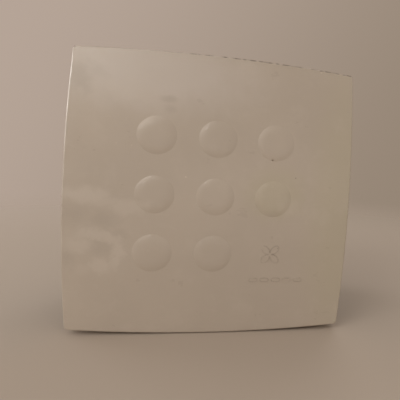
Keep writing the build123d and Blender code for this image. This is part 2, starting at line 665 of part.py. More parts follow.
def inlet_deck():
    height = DECK_TOP_Z + DECK_HALF
    face = Pos(0, DECK_TOP_Z - height / 2) * RectangleRounded(2 * DECK_HALF, height, 4.0)
    deck = plate(face, DECK_FRONT_Y, DECK_BACK_Y)
    deck -= on_axis(rod(BELL_THROAT_R + 2, DECK_FRONT_Y, DECK_BACK_Y))
    deck += bell_mouth()
    for angle in range(0, 360, 45):
        web = block(64.8, 73, 16, DECK_FRONT_Y + 0.5, -0.7, 0.7)
        deck += on_axis(Rot(0, angle, 0) * web)
    saddle = block(-88, -76, 8.2, DECK_FRONT_Y + 0.5, CABLE_Z - 12, CABLE_Z + 12)
    deck += saddle - block(-89, -75, 0, 16, CABLE_Z - 4, CABLE_Z + 4)
    deck -= [rod(BOSS_SCREW_R, 8, 20, -82, CABLE_Z + s * 8.5) for s in (-1, 1)]
    deck -= [rod(1.7, DECK_FRONT_Y, DECK_BACK_Y, x, z) for x, z in volute_boss_spots()]
    deck -= [rod(1.7, DECK_FRONT_Y, DECK_BACK_Y, x, z) for x, z in corners(CORNER_SCREW_XZ)]
    deck -= rod(LEAD_HOLE_R, DECK_FRONT_Y, DECK_BACK_Y, LEAD_HOLE_X, LEAD_HOLE_Z)
    return deck - [rod(1.3, DECK_FRONT_Y, DECK_BACK_Y, x, TERMINAL_Z) for x in block_screw_spots()]


def deck_screws():
    screw = pan_screw(1.45, 14, 3.4, 2.4)
    return group(facing_room(screw, x, DECK_FRONT_Y, z) for x, z in corners(CORNER_SCREW_XZ))


# ---- volute ----
def scroll_radius(angle):
    """Flow radius of the scroll at an angle from +X, in degrees."""
    return SCROLL_R0 + (SCROLL_R1 - SCROLL_R0) * (angle - 70) / 290


def scroll_outline(grow, top):
    """Scroll and outlet channel in one outline, grown outward from the flow surface."""
    left = OUTLET_LEFT - grow
    right = OUTLET_RIGHT + grow
    start = math.degrees(math.acos((left - AXIS_X) / (SCROLL_R0 + grow)))
    points = []
    for i in range(SCROLL_STEPS + 1):
        angle = start + (360 - start) * i / SCROLL_STEPS
        x, z = polar(scroll_radius(angle) + grow, angle)
        points.append((AXIS_X + x, AXIS_Z + z))
    outlet = Polyline(points[-1], (right, top), (left, top), points[0])
    return make_face([Spline(*points), outlet])


def volute_housing():
    body = plate(scroll_outline(SCROLL_WALL, DECK_TOP_Z), DECK_BACK_Y, VOLUTE_BACK_Y)
    for x, z in volute_boss_spots():
        body += rod(BOSS_R, DECK_BACK_Y, DECK_BACK_Y + 16, x, z)
    body -= plate(scroll_outline(0, DECK_TOP_Z + 1), DECK_BACK_Y, VOLUTE_FLOOR_Y)
    body -= [rod(BOSS_SCREW_R, DECK_BACK_Y, DECK_BACK_Y + 14, x, z) for x, z in volute_boss_spots()]
    body += [on_axis(p) for p in ring_of(rod(BOSS_R, 80, VOLUTE_BACK_Y, BUSH_RING_R, 0), 4)]
    body -= on_axis(rod(MOTOR_OPENING_R, 79, VOLUTE_BACK_Y))
    body -= [on_axis(p) for p in ring_of(rod(1.95, 81, VOLUTE_BACK_Y, BUSH_RING_R, 0), 4)]
    return body


def volute_screws():
    screw = pan_screw(1.45, 13, 3.2, 2.2)
    return group(facing_room(screw, x, DECK_FRONT_Y, z) for x, z in volute_boss_spots())


# ---- impeller ----
def blade_arc(turn):
    """Forward-curved line from the blade's root to its tip, turned about the axis."""
    middle_r = (BLADE_IN_R + BLADE_OUT_R) / 2 + 1
    root = polar(BLADE_IN_R, turn)
    tip = polar(BLADE_OUT_R, turn + BLADE_LEAN)
    return ThreePointArc(root, polar(middle_r, turn + BLADE_LEAN / 4), tip)


def blade_profile(turn):
    ahead = blade_arc(turn)
    behind = blade_arc(turn - BLADE_THICK_DEG)
    return make_face([ahead, behind, Line(ahead @ 0, behind @ 0), Line(ahead @ 1, behind @ 1)])


def impeller():
    back = BACKPLATE_Y + BACKPLATE_T
    turns = [i * 360 / BLADES for i in range(BLADES)]
    blades = [plate(blade_profile(turn), BLADE_FRONT_Y, BACKPLATE_Y + 0.4) for turn in turns]
    cup_in = CUP_R - CUP_WALL
    cup_front = CUP_FRONT_Y + CUP_WALL
    profile = Polygon(
        (HUB_R - 1, CUP_FRONT_Y),
        (CUP_R - 4, CUP_FRONT_Y),
        (CUP_R, CUP_FRONT_Y + 4),
        (CUP_R, BACKPLATE_Y),
        (62.5, BACKPLATE_Y),
        (62.5, back),
        (cup_in, back),
        (cup_in, cup_front + 2.5),
        (cup_in - 2.5, cup_front),
        (HUB_R - 1, cup_front),
        align=None,
    )
    body = about_y(profile) + rod(HUB_R, HUB_FRONT_Y, HUB_BACK_Y)
    webs = ring_of(block(HUB_R - 1, CUP_R - 5, CUP_FRONT_Y - 3, CUP_FRONT_Y + 0.5, -0.8, 0.8), 6)
    body = body + webs + tube(62.5, 60.6, BLADE_FRONT_Y - 0.5, BLADE_FRONT_Y + 3) + blades
    return on_axis(body - rod(SHAFT_R, HUB_FRONT_Y, HUB_BACK_Y))


def hub_washer():
    return on_axis(tube(6.2, SHAFT_R, HUB_FRONT_Y - 1.2, HUB_FRONT_Y))


def hub_nut():
    nut = hex_prism(10, 5) - Cylinder(SHAFT_R, 12)
    nut &= Pos(0, 0, 2.5) * Cylinder(5.55, 5)
    return on_axis(facing_room(nut, 0, HUB_FRONT_Y - 1.2, 0))


# ---- rotor ----
def motor_shaft():
    shaft = rod(SHAFT_R, SHAFT_FRONT_Y, SHAFT_BACK_Y)
    ends = shaft.edges().filter_by(GeomType.CIRCLE)
    return on_axis(chamfer(ends, 0.4))


def shaft_spacers():
    """Sleeves that space the impeller, the bearings and the rotor along the shaft."""
    ring_t = STACK_FRONT_Y - CAGE_RING_T
    spans = (
        (HUB_BACK_Y, FRONT_BEARING_Y),
        (FRONT_BEARING_Y + BEARING_WIDTH, ring_t),
        (STACK_BACK_Y + CAGE_RING_T, REAR_BEARING_Y),
    )
    return group(on_axis(tube(4.1, SHAFT_R, a, b)) for a, b in spans)


def cage_bar_spots():
    return [polar(ROTOR_R - 2.4, i * 360 / CAGE_BARS) for i in range(CAGE_BARS)]


def rotor_core():
    core = tube(ROTOR_R, SHAFT_R, STACK_FRONT_Y, STACK_BACK_Y)
    return on_axis(core - [rod(1.3, STACK_FRONT_Y, STACK_BACK_Y, x, z) for x, z in cage_bar_spots()])


def rotor_cage():
    """Cast end rings with cooling fins, joined by the bars through the rotor core."""
    low, high = STACK_FRONT_Y - CAGE_RING_T, STACK_BACK_Y + CAGE_RING_T
    rings = tube(ROTOR_R - 0.6, 10.5, low, STACK_FRONT_Y) + tube(ROTOR_R - 0.6, 10.5, STACK_BACK_Y, high)
    sleeves = tube(10.6, SHAFT_R, low, STACK_FRONT_Y) + tube(10.6, SHAFT_R, STACK_BACK_Y, high)
    fin = block(11.5, ROTOR_R - 1, low - 3, low + 0.5, -0.8, 0.8)
    fins = ring_of(fin, 9)
    bars = [rod(1.3, STACK_FRONT_Y - 0.5, STACK_BACK_Y + 0.5, x, z) for x, z in cage_bar_spots()]
    return on_axis(rings + sleeves + fins + bars)


# ---- ball bearings ----
def groove(y_front):
    """Ball track as a ring about the Y axis."""
    track = Pos(BEARING_PITCH_R, y_front + BEARING_WIDTH / 2) * Circle(BALL_R + BALL_PLAY)
    return about_y(track)


def bearing_inner(y_front):
    ring = tube(BEARING_PITCH_R - 1.1, SHAFT_R, y_front, y_front + BEARING_WIDTH)
    return on_axis(ring - groove(y_front))


def bearing_outer(y_front):
    ring = tube(BEARING_OUT_R, BEARING_PITCH_R + 1.1, y_front, y_front + BEARING_WIDTH)
    return on_axis(ring - groove(y_front))


def bearing_balls(y_front):
    """Seven balls, and the ribbon that spaces them."""
    middle = y_front + BEARING_WIDTH / 2
    balls = ring_of(Pos(BEARING_PITCH_R, middle, 0) * Sphere(BALL_R), BALLS)
    ribbon = tube(BEARING_PITCH_R + 0.5, BEARING_PITCH_R - 0.5, middle - 0.9, middle + 0.9)
    pockets = ring_of(Pos(BEARING_PITCH_R, middle, 0) * Sphere(BALL_R + 0.06), BALLS)
    return group(on_axis(p) for p in balls + [ribbon - pockets])


# ---- stator ----
def pole_shape():
    """One pole with its shoe, pointing along +X."""
    limb = Pos((POLE_SHOE_R + YOKE_IN_R) / 2, 0) * Rectangle(YOKE_IN_R - POLE_SHOE_R + 4, POLE_WIDTH)
    half = POLE_SHOE_DEG / 2
    wedge = Polygon((0, 0), polar(40, -half), polar(40, half), align=None)
    shoe = (Circle(POLE_SHOE_R) - Circle(STATOR_BORE_R)) & wedge
    return limb + shoe


def bolt_spots():
    return [polar(BOLT_R, 45 + i * 90) for i in range(4)]


def stator_core():
    yoke = (Rectangle(2 * STACK_HALF, 2 * STACK_HALF) & Circle(STACK_CORNER_R)) - Circle(YOKE_IN_R)
    face = yoke + [Rot(0, 0, i * 90) * pole_shape() for i in range(POLES)]
    face -= [Pos(x, z) * Circle(BOLT_HOLE_R) for x, z in bolt_spots()]
    slots = [Rot(0, 0, i * 90) * shading_slot() for i in range(POLES)]
    return on_axis(plate(face - Circle(STATOR_BORE_R) - slots, STACK_FRONT_Y, STACK_BACK_Y))


def shading_slot():
    """Notch in the pole shoe's face that lets the shading ring pass through."""
    return Rot(0, 0, 12) * Pos(STATOR_BORE_R + 0.9, 0) * Rectangle(2.2, 1.8)


def shading_rings():
    """Copper loops round one tip of each pole shoe."""
    front, back = STACK_FRONT_Y - 1.7, STACK_BACK_Y + 1.7
    r0, r1 = STATOR_BORE_R + 0.35, STATOR_BORE_R + 1.85
    loops = []
    for i in range(POLES):
        near = Rot(0, -12, 0) * block(r0, r1, front, back, -0.7, 0.7)
        far = Rot(0, -39, 0) * block(r0, r1, front, back, -0.7, 0.7)
        arc = tube(r1, r0, front, front + 1.5) + tube(r1, r0, back - 1.5, back)
        half_turn = Rot(0, -25.5, 0) * block(r0 - 3, r1 + 2, front - 1, back + 1, -4.6, 4.6)
        loops.append(on_axis(Rot(0, -i * 90, 0) * (near + far + (arc & half_turn))))
    return group(loops)


def coil_ring(inner_w, inner_h, outer_w, outer_h, r0, r1):
    """Rounded rectangular ring round a pole that points along +X, between two radii."""
    middle = (STACK_FRONT_Y + STACK_BACK_Y) / 2
    ring = RectangleRounded(outer_h, outer_w, 2.0) - Rectangle(inner_h, inner_w)
    return Pos(r0, middle, 0) * Rot(0, 90, 0) * Rot(0, 0, 90) * extrude(ring, r1 - r0)


def coil_sizes():
    inner_w = POLE_WIDTH + 0.2
    inner_h = STACK_BACK_Y - STACK_FRONT_Y + 0.2
    return inner_w, inner_h, inner_w + 2 * BOBBIN_T, inner_h + 2 * BOBBIN_T


def coil_bobbins():
    inner_w, inner_h, core_w, core_h = coil_sizes()
    outer_w, outer_h = core_w + 2 * COIL_SIDE_T - 1.2, core_h + 2 * COIL_SIDE_T
    bobbin = coil_ring(inner_w, inner_h, core_w, core_h, COIL_IN_R, COIL_OUT_R)
    bobbin += coil_ring(inner_w, inner_h, outer_w, outer_h, COIL_IN_R, COIL_IN_R + BOBBIN_T)
    bobbin += coil_ring(inner_w, inner_h, outer_w, outer_h, COIL_OUT_R - BOBBIN_T, COIL_OUT_R)
    return group(on_axis(p) for p in ring_of(bobbin, POLES))


def stator_coils():
    _, _, core_w, core_h = coil_sizes()
    outer_w, outer_h = core_w + 2 * COIL_SIDE_T - 2.4, core_h + 2 * COIL_SIDE_T - 1.2
    coil = coil_ring(core_w, core_h, outer_w, outer_h, COIL_IN_R + BOBBIN_T, COIL_OUT_R - BOBBIN_T)
    return group(on_axis(p) for p in ring_of(coil, POLES))


# ---- motor frame ----
def bracket(hub_front, hub_back, seat_front, seat_back, web_front, web_back, foot_y):
    """Cast four-armed bracket: bearing hub, arms along the diagonals, and columns down to the stack."""
    body = rod(12.5, hub_front, hub_back)
    for x, z in bolt_spots():
        low, high = sorted((web_front, foot_y)) if foot_y > web_back else sorted((web_back, foot_y))
        body += rod(4.2, low, high, x, z)
    arm = block(8, BOLT_R, web_front, web_back, -4, 4)
    body += ring_of(arm, 4, 45)
    body -= rod(BEARING_OUT_R, seat_front, seat_back)
    body -= rod(5.6, hub_front - 1, hub_back + 1)
    return on_axis(body - [rod(BOLT_HOLE_R, 40, 110, x, z) for x, z in bolt_spots()])


def front_motor_bracket():
    seat = FRONT_BEARING_Y
    return bracket(seat - 1.5, seat + 8, seat, seat + 8, 54, 57, STACK_FRONT_Y)


def rear_motor_bracket():
    seat = REAR_BEARING_Y
    foot = STACK_BACK_Y + MOTOR_PLATE_T
    return bracket(seat - 1, seat + BEARING_WIDTH + 1.5, seat - 1, seat + BEARING_WIDTH, 99, 102, foot)


def motor_plate():
    front = STACK_BACK_Y
    body = tube(MOTOR_PLATE_R, YOKE_IN_R + 0.9, front, front + MOTOR_PLATE_T)
    body -= [rod(BOLT_HOLE_R, front, front + 2, x, z) for x, z in bolt_spots()]
    return on_axis(body - ring_of(rod(3.0, front, front + 2, BUSH_RING_R, 0), 4))


def motor_bushes():
    front, back = VOLUTE_BACK_Y, STACK_BACK_Y + MOTOR_PLATE_T + 2
    bush = rod(5.0, front, STACK_BACK_Y, BUSH_RING_R, 0) + rod(3.0, front, back, BUSH_RING_R, 0)
    bush += rod(5.0, STACK_BACK_Y + MOTOR_PLATE_T, back, BUSH_RING_R, 0)
    bush -= rod(2.0, front, back, BUSH_RING_R, 0)
    return group(on_axis(p) for p in ring_of(bush, 4))


def motor_bush_screws():
    screw = pan_screw(1.9, 10, 3.8, 2.4, 1.0)
    seat = STACK_BACK_Y + MOTOR_PLATE_T + 2
    return group(on_axis(p) for p in ring_of(facing_wall(screw, BUSH_RING_R, seat, 0), 4))


def motor_bolts():
    head = hex_prism(7, 2.8)
    bolt = head + Pos(0, 0, -26.5) * Cylinder(1.95, 53)
    return group(on_axis(facing_wall(bolt, x, 102, z)) for x, z in bolt_spots())


def motor_nuts():
    nut = hex_prism(7, 3.2) - Cylinder(1.95, 10)
    return group(on_axis(facing_room(nut, x, 54, z)) for x, z in bolt_spots())


# ---- wiring ----
def terminal_spots():
    return [TERMINAL_X + i * TERMINAL_PITCH for i in (-1, 0, 1)]


def block_screw_spots():
    """The two screws that hold the terminal block, between its three ways."""
    return [TERMINAL_X - TERMINAL_PITCH / 2, TERMINAL_X + TERMINAL_PITCH / 2]


def terminal_block():
    width, depth, height = TERMINAL_SIZE
    front = DECK_FRONT_Y - depth
    low, high = TERMINAL_Z - height / 2, TERMINAL_Z + height / 2
    body = block(TERMINAL_X - width / 2, TERMINAL_X + width / 2, front + 4, DECK_FRONT_Y, low, high)
    for x in terminal_spots():
        tower = block(x - 4.4, x + 4.4, front, front + 5, low, high)
        body += fillet(tower.edges().filter_by(Axis.Z).group_by(Axis.Y)[0], 1.5)
        body -= block(x - 3.1, x + 3.1, 12.1, 18.3, TERMINAL_Z - 6.1, TERMINAL_Z + 6.1)
        body -= Pos(x, 15.2, TERMINAL_Z) * Cylinder(2.2, height + 2)
        body -= [rod(2.0, front - 1, 13, x, TERMINAL_Z + s * 3.4) for s in (-1, 1)]
    for x in block_screw_spots():
        body -= rod(1.3, front, DECK_FRONT_Y, x, TERMINAL_Z)
        body -= rod(2.5, front, 18, x, TERMINAL_Z)
    return body


def terminal_clamps():
    """Brass sockets inside the block, bored along Z for the wires."""
    clamps = []
    for x in terminal_spots():
        clamp = block(x - 3, x + 3, 12.2, 18.2, TERMINAL_Z - 6, TERMINAL_Z + 6)
        clamp -= Pos(x, 15.2, TERMINAL_Z) * Cylinder(1.7, 14)
        clamps.append(clamp - [rod(1.25, 11, 14.5, x, TERMINAL_Z + s * 3.4) for s in (-1, 1)])
    return group(clamps)


def terminal_screws():
    screw = slotted_screw(1.2, 2.4, 1.8, 1.6)
    return group(
        facing_room(screw, x, 11.6, TERMINAL_Z + s * 3.4) for x in terminal_spots() for s in (-1, 1)
    )


def terminal_block_screws():
    screw = pan_screw(1.25, 6.5, 2.3, 1.6, 0.7)
    return group(facing_room(screw, x, 18, TERMINAL_Z) for x in block_screw_spots())


def cable_clamp():
    bar = block(-85.5, -78.5, 5.2, 8.2, CABLE_Z - 12, CABLE_Z + 12)
    bar = fillet(bar.edges().filter_by(Axis.Y), 2.0)
    return bar - [rod(1.65, 5, 9, -82, CABLE_Z + s * 8.5) for s in (-1, 1)]


def cable_clamp_screws():
    screw = pan_screw(1.45, 11, 2.8, 2.0)
    return group(facing_room(screw, -82, 5.2, CABLE_Z + s * 8.5) for s in (-1, 1))


def lead_grommet():
    body = rod(4.5, 20.6, 26.4, LEAD_HOLE_X, LEAD_HOLE_Z)
    body += rod(6.2, 20.6, DECK_FRONT_Y, LEAD_HOLE_X, LEAD_HOLE_Z)
    body += rod(6.2, DECK_BACK_Y, 26.4, LEAD_HOLE_X, LEAD_HOLE_Z)
    return body - rod(3.2, 20, 27, LEAD_HOLE_X, LEAD_HOLE_Z)


def lead(points, bend):
    """Insulated wire along a path with rounded bends."""
    path = FilletPolyline(*points, radius=bend)
    section = Plane(origin=path @ 0, z_dir=path % 0) * Circle(LEAD_R)
    return sweep(section, path=path)


def motor_lead_live():
    x, z = LEAD_HOLE_X, LEAD_HOLE_Z - 1.4
    far = terminal_spots()[1]
    points = [
        (-14, 95.2, -29), (-14, 95.2, -46), (-40, 95.2, z), (x, 95.2, z), (x, 11.6, z),
        (far, 11.6, z), (far, 15.2, z - 5), (far, 15.2, TERMINAL_Z + 6.4),
    ]
    return lead(points, 2.0)


def motor_lead_neutral():
    x, z = LEAD_HOLE_X, LEAD_HOLE_Z + 1.4
    near = terminal_spots()[0]
    points = [
        (-4, 95.2, -29), (-4, 98.4, -38), (-36, 98.4, z), (x, 98.4, z), (x, 16, z),
        (near, 16, z), (near, 15.2, z - 8), (near, 15.2, TERMINAL_Z + 6.4),
    ]
    return lead(points, 2.0)


def all_parts():
    return {
        "front_cover": front_cover(),
        "intake_frame": intake_frame(),
        "intake_frame_screws": intake_frame_screws(),
        "filter_frame": filter_frame(),
        "filter_mat": filter_mat(),
        "recess_box": recess_box(),
        "cable_grommet": cable_grommet(),
        "outlet_spigot": outlet_spigot(),
        "spigot_screws": spigot_screws(),
        "flap_pin": flap_pin(),
        "flap_leaf_right": flap_leaf(1, KNUCKLES_RIGHT),
        "flap_leaf_left": flap_leaf(-1, KNUCKLES_LEFT),
        "outlet_gasket": outlet_gasket(),
        "inlet_deck": inlet_deck(),
        "deck_screws": deck_screws(),
        "volute_housing": volute_housing(),
        "volute_screws": volute_screws(),
        "impeller": impeller(),
        "hub_washer": hub_washer(),
        "hub_nut": hub_nut(),
        "motor_shaft": motor_shaft(),
        "shaft_spacers": shaft_spacers(),
        "rotor_core": rotor_core(),
        "rotor_cage": rotor_cage(),
        "front_bearing_inner": bearing_inner(FRONT_BEARING_Y),
        "front_bearing_outer": bearing_outer(FRONT_BEARING_Y),
        "front_bearing_balls": bearing_balls(FRONT_BEARING_Y),
        "rear_bearing_inner": bearing_inner(REAR_BEARING_Y),
        "rear_bearing_outer": bearing_outer(REAR_BEARING_Y),
        "rear_bearing_balls": bearing_balls(REAR_BEARING_Y),
        "stator_core": stator_core(),
        "shading_rings": shading_rings(),
        "coil_bobbins": coil_bobbins(),
        "stator_coils": stator_coils(),
        "front_motor_bracket": front_motor_bracket(),
        "rear_motor_bracket": rear_motor_bracket(),
        "motor_plate": motor_plate(),
        "motor_bushes": motor_bushes(),
        "motor_bush_screws": motor_bush_screws(),
        "motor_bolts": motor_bolts(),
        "motor_nuts": motor_nuts(),
        "terminal_block": terminal_block(),
        "terminal_clamps": terminal_clamps(),
        "terminal_screws": terminal_screws(),
        "terminal_block_screws": terminal_block_screws(),
        "cable_clamp": cable_clamp(),
        "cable_clamp_screws": cable_clamp_screws(),
        "lead_grommet": lead_grommet(),
        "motor_lead_live": motor_lead_live(),
        "motor_lead_neutral": motor_lead_neutral(),
    }


os.makedirs("parts", exist_ok=True)
for name, shape in all_parts().items():
    export_step(shape, f"parts/{name}.step")
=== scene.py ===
import json
import math
import random

import bmesh
import bpy
from mathutils import Euler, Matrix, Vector, noise


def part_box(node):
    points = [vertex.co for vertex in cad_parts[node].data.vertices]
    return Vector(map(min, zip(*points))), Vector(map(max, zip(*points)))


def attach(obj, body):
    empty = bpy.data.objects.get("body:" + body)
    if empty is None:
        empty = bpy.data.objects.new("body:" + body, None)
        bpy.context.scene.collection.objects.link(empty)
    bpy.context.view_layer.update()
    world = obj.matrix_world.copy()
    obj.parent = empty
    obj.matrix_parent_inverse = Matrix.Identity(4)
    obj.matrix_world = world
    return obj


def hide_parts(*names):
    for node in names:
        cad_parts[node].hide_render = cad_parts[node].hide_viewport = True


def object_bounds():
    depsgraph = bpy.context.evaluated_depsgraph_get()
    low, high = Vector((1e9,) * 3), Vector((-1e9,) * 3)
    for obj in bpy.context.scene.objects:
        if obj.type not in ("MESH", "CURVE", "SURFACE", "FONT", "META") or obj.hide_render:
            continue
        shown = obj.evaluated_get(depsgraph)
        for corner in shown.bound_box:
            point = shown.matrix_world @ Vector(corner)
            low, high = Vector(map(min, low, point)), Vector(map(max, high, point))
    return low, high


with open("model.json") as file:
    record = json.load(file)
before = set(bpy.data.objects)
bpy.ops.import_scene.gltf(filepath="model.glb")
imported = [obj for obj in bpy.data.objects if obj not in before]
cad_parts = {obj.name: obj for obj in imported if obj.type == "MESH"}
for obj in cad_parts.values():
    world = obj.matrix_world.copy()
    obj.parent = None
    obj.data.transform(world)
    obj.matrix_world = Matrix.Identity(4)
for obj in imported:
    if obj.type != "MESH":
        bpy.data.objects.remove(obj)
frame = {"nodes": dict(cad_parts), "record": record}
cad_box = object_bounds()

MM = 0.001
COVER_LOW, COVER_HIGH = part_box("front_cover")
COVER_SIDE = 220 * MM       # corner to corner
COVER_TOP_MM = COVER_HIGH.z / MM
COVER_BOW_MM = 4.0          # how far the middle of a side stands out beyond its corners
COVER_HALF_MM = COVER_SIDE / MM / 2

# ---- camera and light ----
CAMERA_PLACE = (0.0707, -1.5404, 0.1732)    # from the centre of the cover's face, in cover sides
CAMERA_ANGLES = (87.094, -3.738, -11.852)   # degrees, XYZ Euler
CAMERA_LENS = 36.0          # millimetres, on a sensor of CAMERA_SENSOR
CAMERA_SENSOR = 36.0
CAMERA_CLIP = 0.01
LENS_SHIFT = (-0.3034, -0.0565)
FACE_DEPTH = -24 * MM       # depth of the cover's corners
SURROUND = (0.615, 0.525, 0.445)            # light from all round
SURROUND_STRENGTH = 0.68
BACKDROP_LIT = (0.465, 0.372, 0.310)        # what the camera sees behind the part: upper left
BACKDROP_SHADED = (0.300, 0.236, 0.180)     # and lower right
BACKDROP_SLOPE = (0.62, -0.38, 0)           # direction of its falloff across the picture
BACKDROP_SPAN = (-0.38, 0.50)               # where along that direction it starts and ends
FLOOR = (0.600, 0.530, 0.465)
FLOOR_NEAR = 0.2            # metres from the part where the floor begins to fade
FLOOR_FAR = 1.2             # and where it is gone
FLOOR_DROP = 0.5 * MM       # gap between the part's lowest point and the floor
WARM = (1.0, 0.95, 0.88)    # lamp colours, from warm to nearly white
SOFT_WARM = (1.0, 0.95, 0.90)
PALE_WARM = (1.0, 0.96, 0.92)
NEAR_WHITE = (1.0, 0.97, 0.93)
WHITE = (1.0, 0.97, 0.94)
FACE_MIDDLE = (0, -0.02, 0)
BODY_MIDDLE = (0, 0.05, 0)
LIGHTS = (                  # name, place, aim, size, watts, colour, lights surfaces or only reflects
    ("key", (-0.80, -0.85, 0.75), FACE_MIDDLE, (0.8, 0.8), 3.9, WARM, True),
    ("lamp", (-0.36, -0.66, 0.30), FACE_MIDDLE, (0.10, 0.10), 0.34, NEAR_WHITE, False),
    ("side", (-1.20, -0.50, 0.27), FACE_MIDDLE, (0.22, 0.34), 14.0, NEAR_WHITE, False),
    ("fill", (1.3, -1.2, 0.5), (0, 0, 0), (1.2, 1.2), 1.0, SOFT_WARM, True),
    ("back", (0.7, 1.6, 1.1), BODY_MIDDLE, (1.2, 1.2), 6, PALE_WARM, True),
    ("low", (0.1, -0.9, -0.06), (0, -0.02, -0.11), (0.9, 0.06), 0.25, SOFT_WARM, True),
    ("back_left", (-1.5, 0.9, 0.6), BODY_MIDDLE, (1.0, 1.0), 5, WHITE, True),
)

# ---- soft pieces and dust ----
PAD_INSET = 0.4 * MM        # the pad's gap to the filter frame
PAD_CELLS = 72
PAD_EDGE_CELLS = 2.5        # width of the pad's rounded edge
PAD_EDGE_LOFT = 0.35        # thickness at the edge, as a share of the full loft
PAD_SLACK = 0.16            # room left for the lumps, as a share of the half depth
FIBRES = 1500
FIBRE_POINTS = 6
FIBRE_STEP = 1.5            # millimetres
FIBRE_R = 0.06 * MM
FIBRE_SEED = 7
DUST_SEED = 11
DUST_CLUSTERS = (           # x, specks and size in millimetres, along the cover's top edge
    (-22, 2, 0.7), (-4, 5, 0.5), (25, 7, 0.5), (50, 3, 0.7), (79, 2, 1.0), (101, 2, 0.5), (-108, 2, 0.6),
)
DUST_SPREAD = 7             # millimetres to either side of a cluster
DUST_SINK = 0.15            # millimetres that the specks sit into the edge
DUST_BAND = (5.2, 7.2)      # millimetres behind the front of the cover


# ---- writing materials ----
class Recipe:
    """Writes the nodes of one material. Lengths are in millimetres; each method returns an output socket."""

    def __init__(self, name):
        self.material = bpy.data.materials.new(name)
        self.material.use_nodes = True
        self.tree = self.material.node_tree
        self.tree.nodes.clear()
        self.surface = self.node("ShaderNodeBsdfPrincipled")
        self.output = self.node("ShaderNodeOutputMaterial")
        self.tree.links.new(self.surface.outputs[0], self.output.inputs[0])
        metres = self.node("ShaderNodeTexCoord").outputs["Object"]
        self.place = self.vector_math("SCALE", metres, scale=1 / MM)
        self.x, self.y, self.z = self.parts(self.place)
        self.normal = self.node("ShaderNodeNewGeometry").outputs["Normal"]

    def node(self, kind, **settings):
        made = self.tree.nodes.new(kind)
        for name, value in settings.items():
            setattr(made, name, value)
        return made

    def feed(self, socket, value):
        """Links another node's output, or sets a plain value or colour."""
        if isinstance(value, bpy.types.NodeSocket):
            self.tree.links.new(value, socket)
        elif socket.type == "RGBA":
            socket.default_value = (*value[:3], 1)
        else:
            socket.default_value = value

    def vector_math(self, operation, a, b=(0, 0, 0), scale=1.0):
        made = self.node("ShaderNodeVectorMath", operation=operation)
        self.feed(made.inputs[0], a)
        if operation == "SCALE":
            self.feed(made.inputs["Scale"], scale)
        else:
            self.feed(made.inputs[1], b)
        return made.outputs["Value"] if operation in ("DOT_PRODUCT", "LENGTH") else made.outputs[0]

    def parts(self, vector):
        made = self.node("ShaderNodeSeparateXYZ")
        self.feed(made.inputs[0], vector)
        return made.outputs

    def math(self, operation, a, b=0.0, clamp=False):
        made = self.node("ShaderNodeMath", operation=operation, use_clamp=clamp)
        self.feed(made.inputs[0], a)
        self.feed(made.inputs[1], b)
        return made.outputs[0]

    def product(self, *values):
        total = values[0]
        for value in values[1:]:
            total = self.math("MULTIPLY", total, value)
        return total

    def total(self, *values):
        total = values[0]
        for value in values[1:]:
            total = self.math("ADD", total, value)
        return total

    def span(self, value, low, high, out_low=0.0, out_high=1.0):
        """Smooth step from out_low, where value is low, to out_high, where it is high."""
        made = self.node("ShaderNodeMapRange", interpolation_type="SMOOTHSTEP")
        for index, number in enumerate((value, low, high, out_low, out_high)):
            self.feed(made.inputs[index], number)
        return made.outputs[0]

    def stretch(self, factors):
        """Coordinates scaled separately along X, Y and Z."""
        return self.vector_math("MULTIPLY", self.place, factors)

    def noise(self, size, detail=2.0, roughness=0.55, place=None, distortion=0.0):
        """Cloudy noise whose features are about size millimetres across."""
        made = self.node("ShaderNodeTexNoise")
        self.feed(made.inputs["Vector"], place or self.place)
        self.feed(made.inputs["Scale"], 1 / size)
        self.feed(made.inputs["Detail"], detail)
        self.feed(made.inputs["Roughness"], roughness)
        self.feed(made.inputs["Distortion"], distortion)
        return made.outputs["Fac"]

    def cells(self, size, feature="F1", place=None):
        made = self.node("ShaderNodeTexVoronoi", feature=feature)
        self.feed(made.inputs["Vector"], place or self.place)
        self.feed(made.inputs["Scale"], 1 / size)
        return made.outputs["Distance"]

    def mix(self, factor, a, b):
        made = self.node("ShaderNodeMix", data_type="RGBA")
        self.feed(made.inputs["Factor"], factor)
        self.feed(made.inputs[6], a)
        self.feed(made.inputs[7], b)
        return made.outputs[2]

    def patch(self, centre, radii, soft=0.5, ragged=0.35, grain=14.0):
        """Mask of an uneven ellipse on the X-Z plane: 1 inside, fading over the soft share of its size."""
        dx = self.math("DIVIDE", self.math("SUBTRACT", self.x, centre[0]), radii[0])
        dz = self.math("DIVIDE", self.math("SUBTRACT", self.z, centre[1]), radii[1])
        away = self.math("SQRT", self.total(self.product(dx, dx), self.product(dz, dz)))
        uneven = self.product(self.math("SUBTRACT", self.noise(grain, 4.0), 0.5), ragged * 2)
        return self.span(self.total(away, uneven), 1 + soft / 2, 1 - soft / 2)

    def rounded(self, radius):
        """Normal with the sharp edges rounded off."""
        made = self.node("ShaderNodeBevel", samples=4)
        self.feed(made.inputs["Radius"], radius * MM)
        return made.outputs[0]

    def edges(self, radius, gain=6.0):
        """Mask of the stretches near a sharp edge."""
        turned = self.vector_math("DOT_PRODUCT", self.rounded(radius), self.normal)
        return self.math("MULTIPLY", self.math("SUBTRACT", 1.0, turned), gain, clamp=True)

    def facing_up(self, low=0.55, high=0.95):
        return self.span(self.parts(self.normal)[2], low, high)

    def bump(self, height, depth, normal=None):
        """Relief of the given depth, in millimetres, added to a normal."""
        made = self.node("ShaderNodeBump")
        self.feed(made.inputs["Height"], height)
        self.feed(made.inputs["Distance"], depth * MM)
        self.feed(made.inputs["Strength"], 1.0)
        if normal is not None:
            self.feed(made.inputs["Normal"], normal)
        return made.outputs[0]

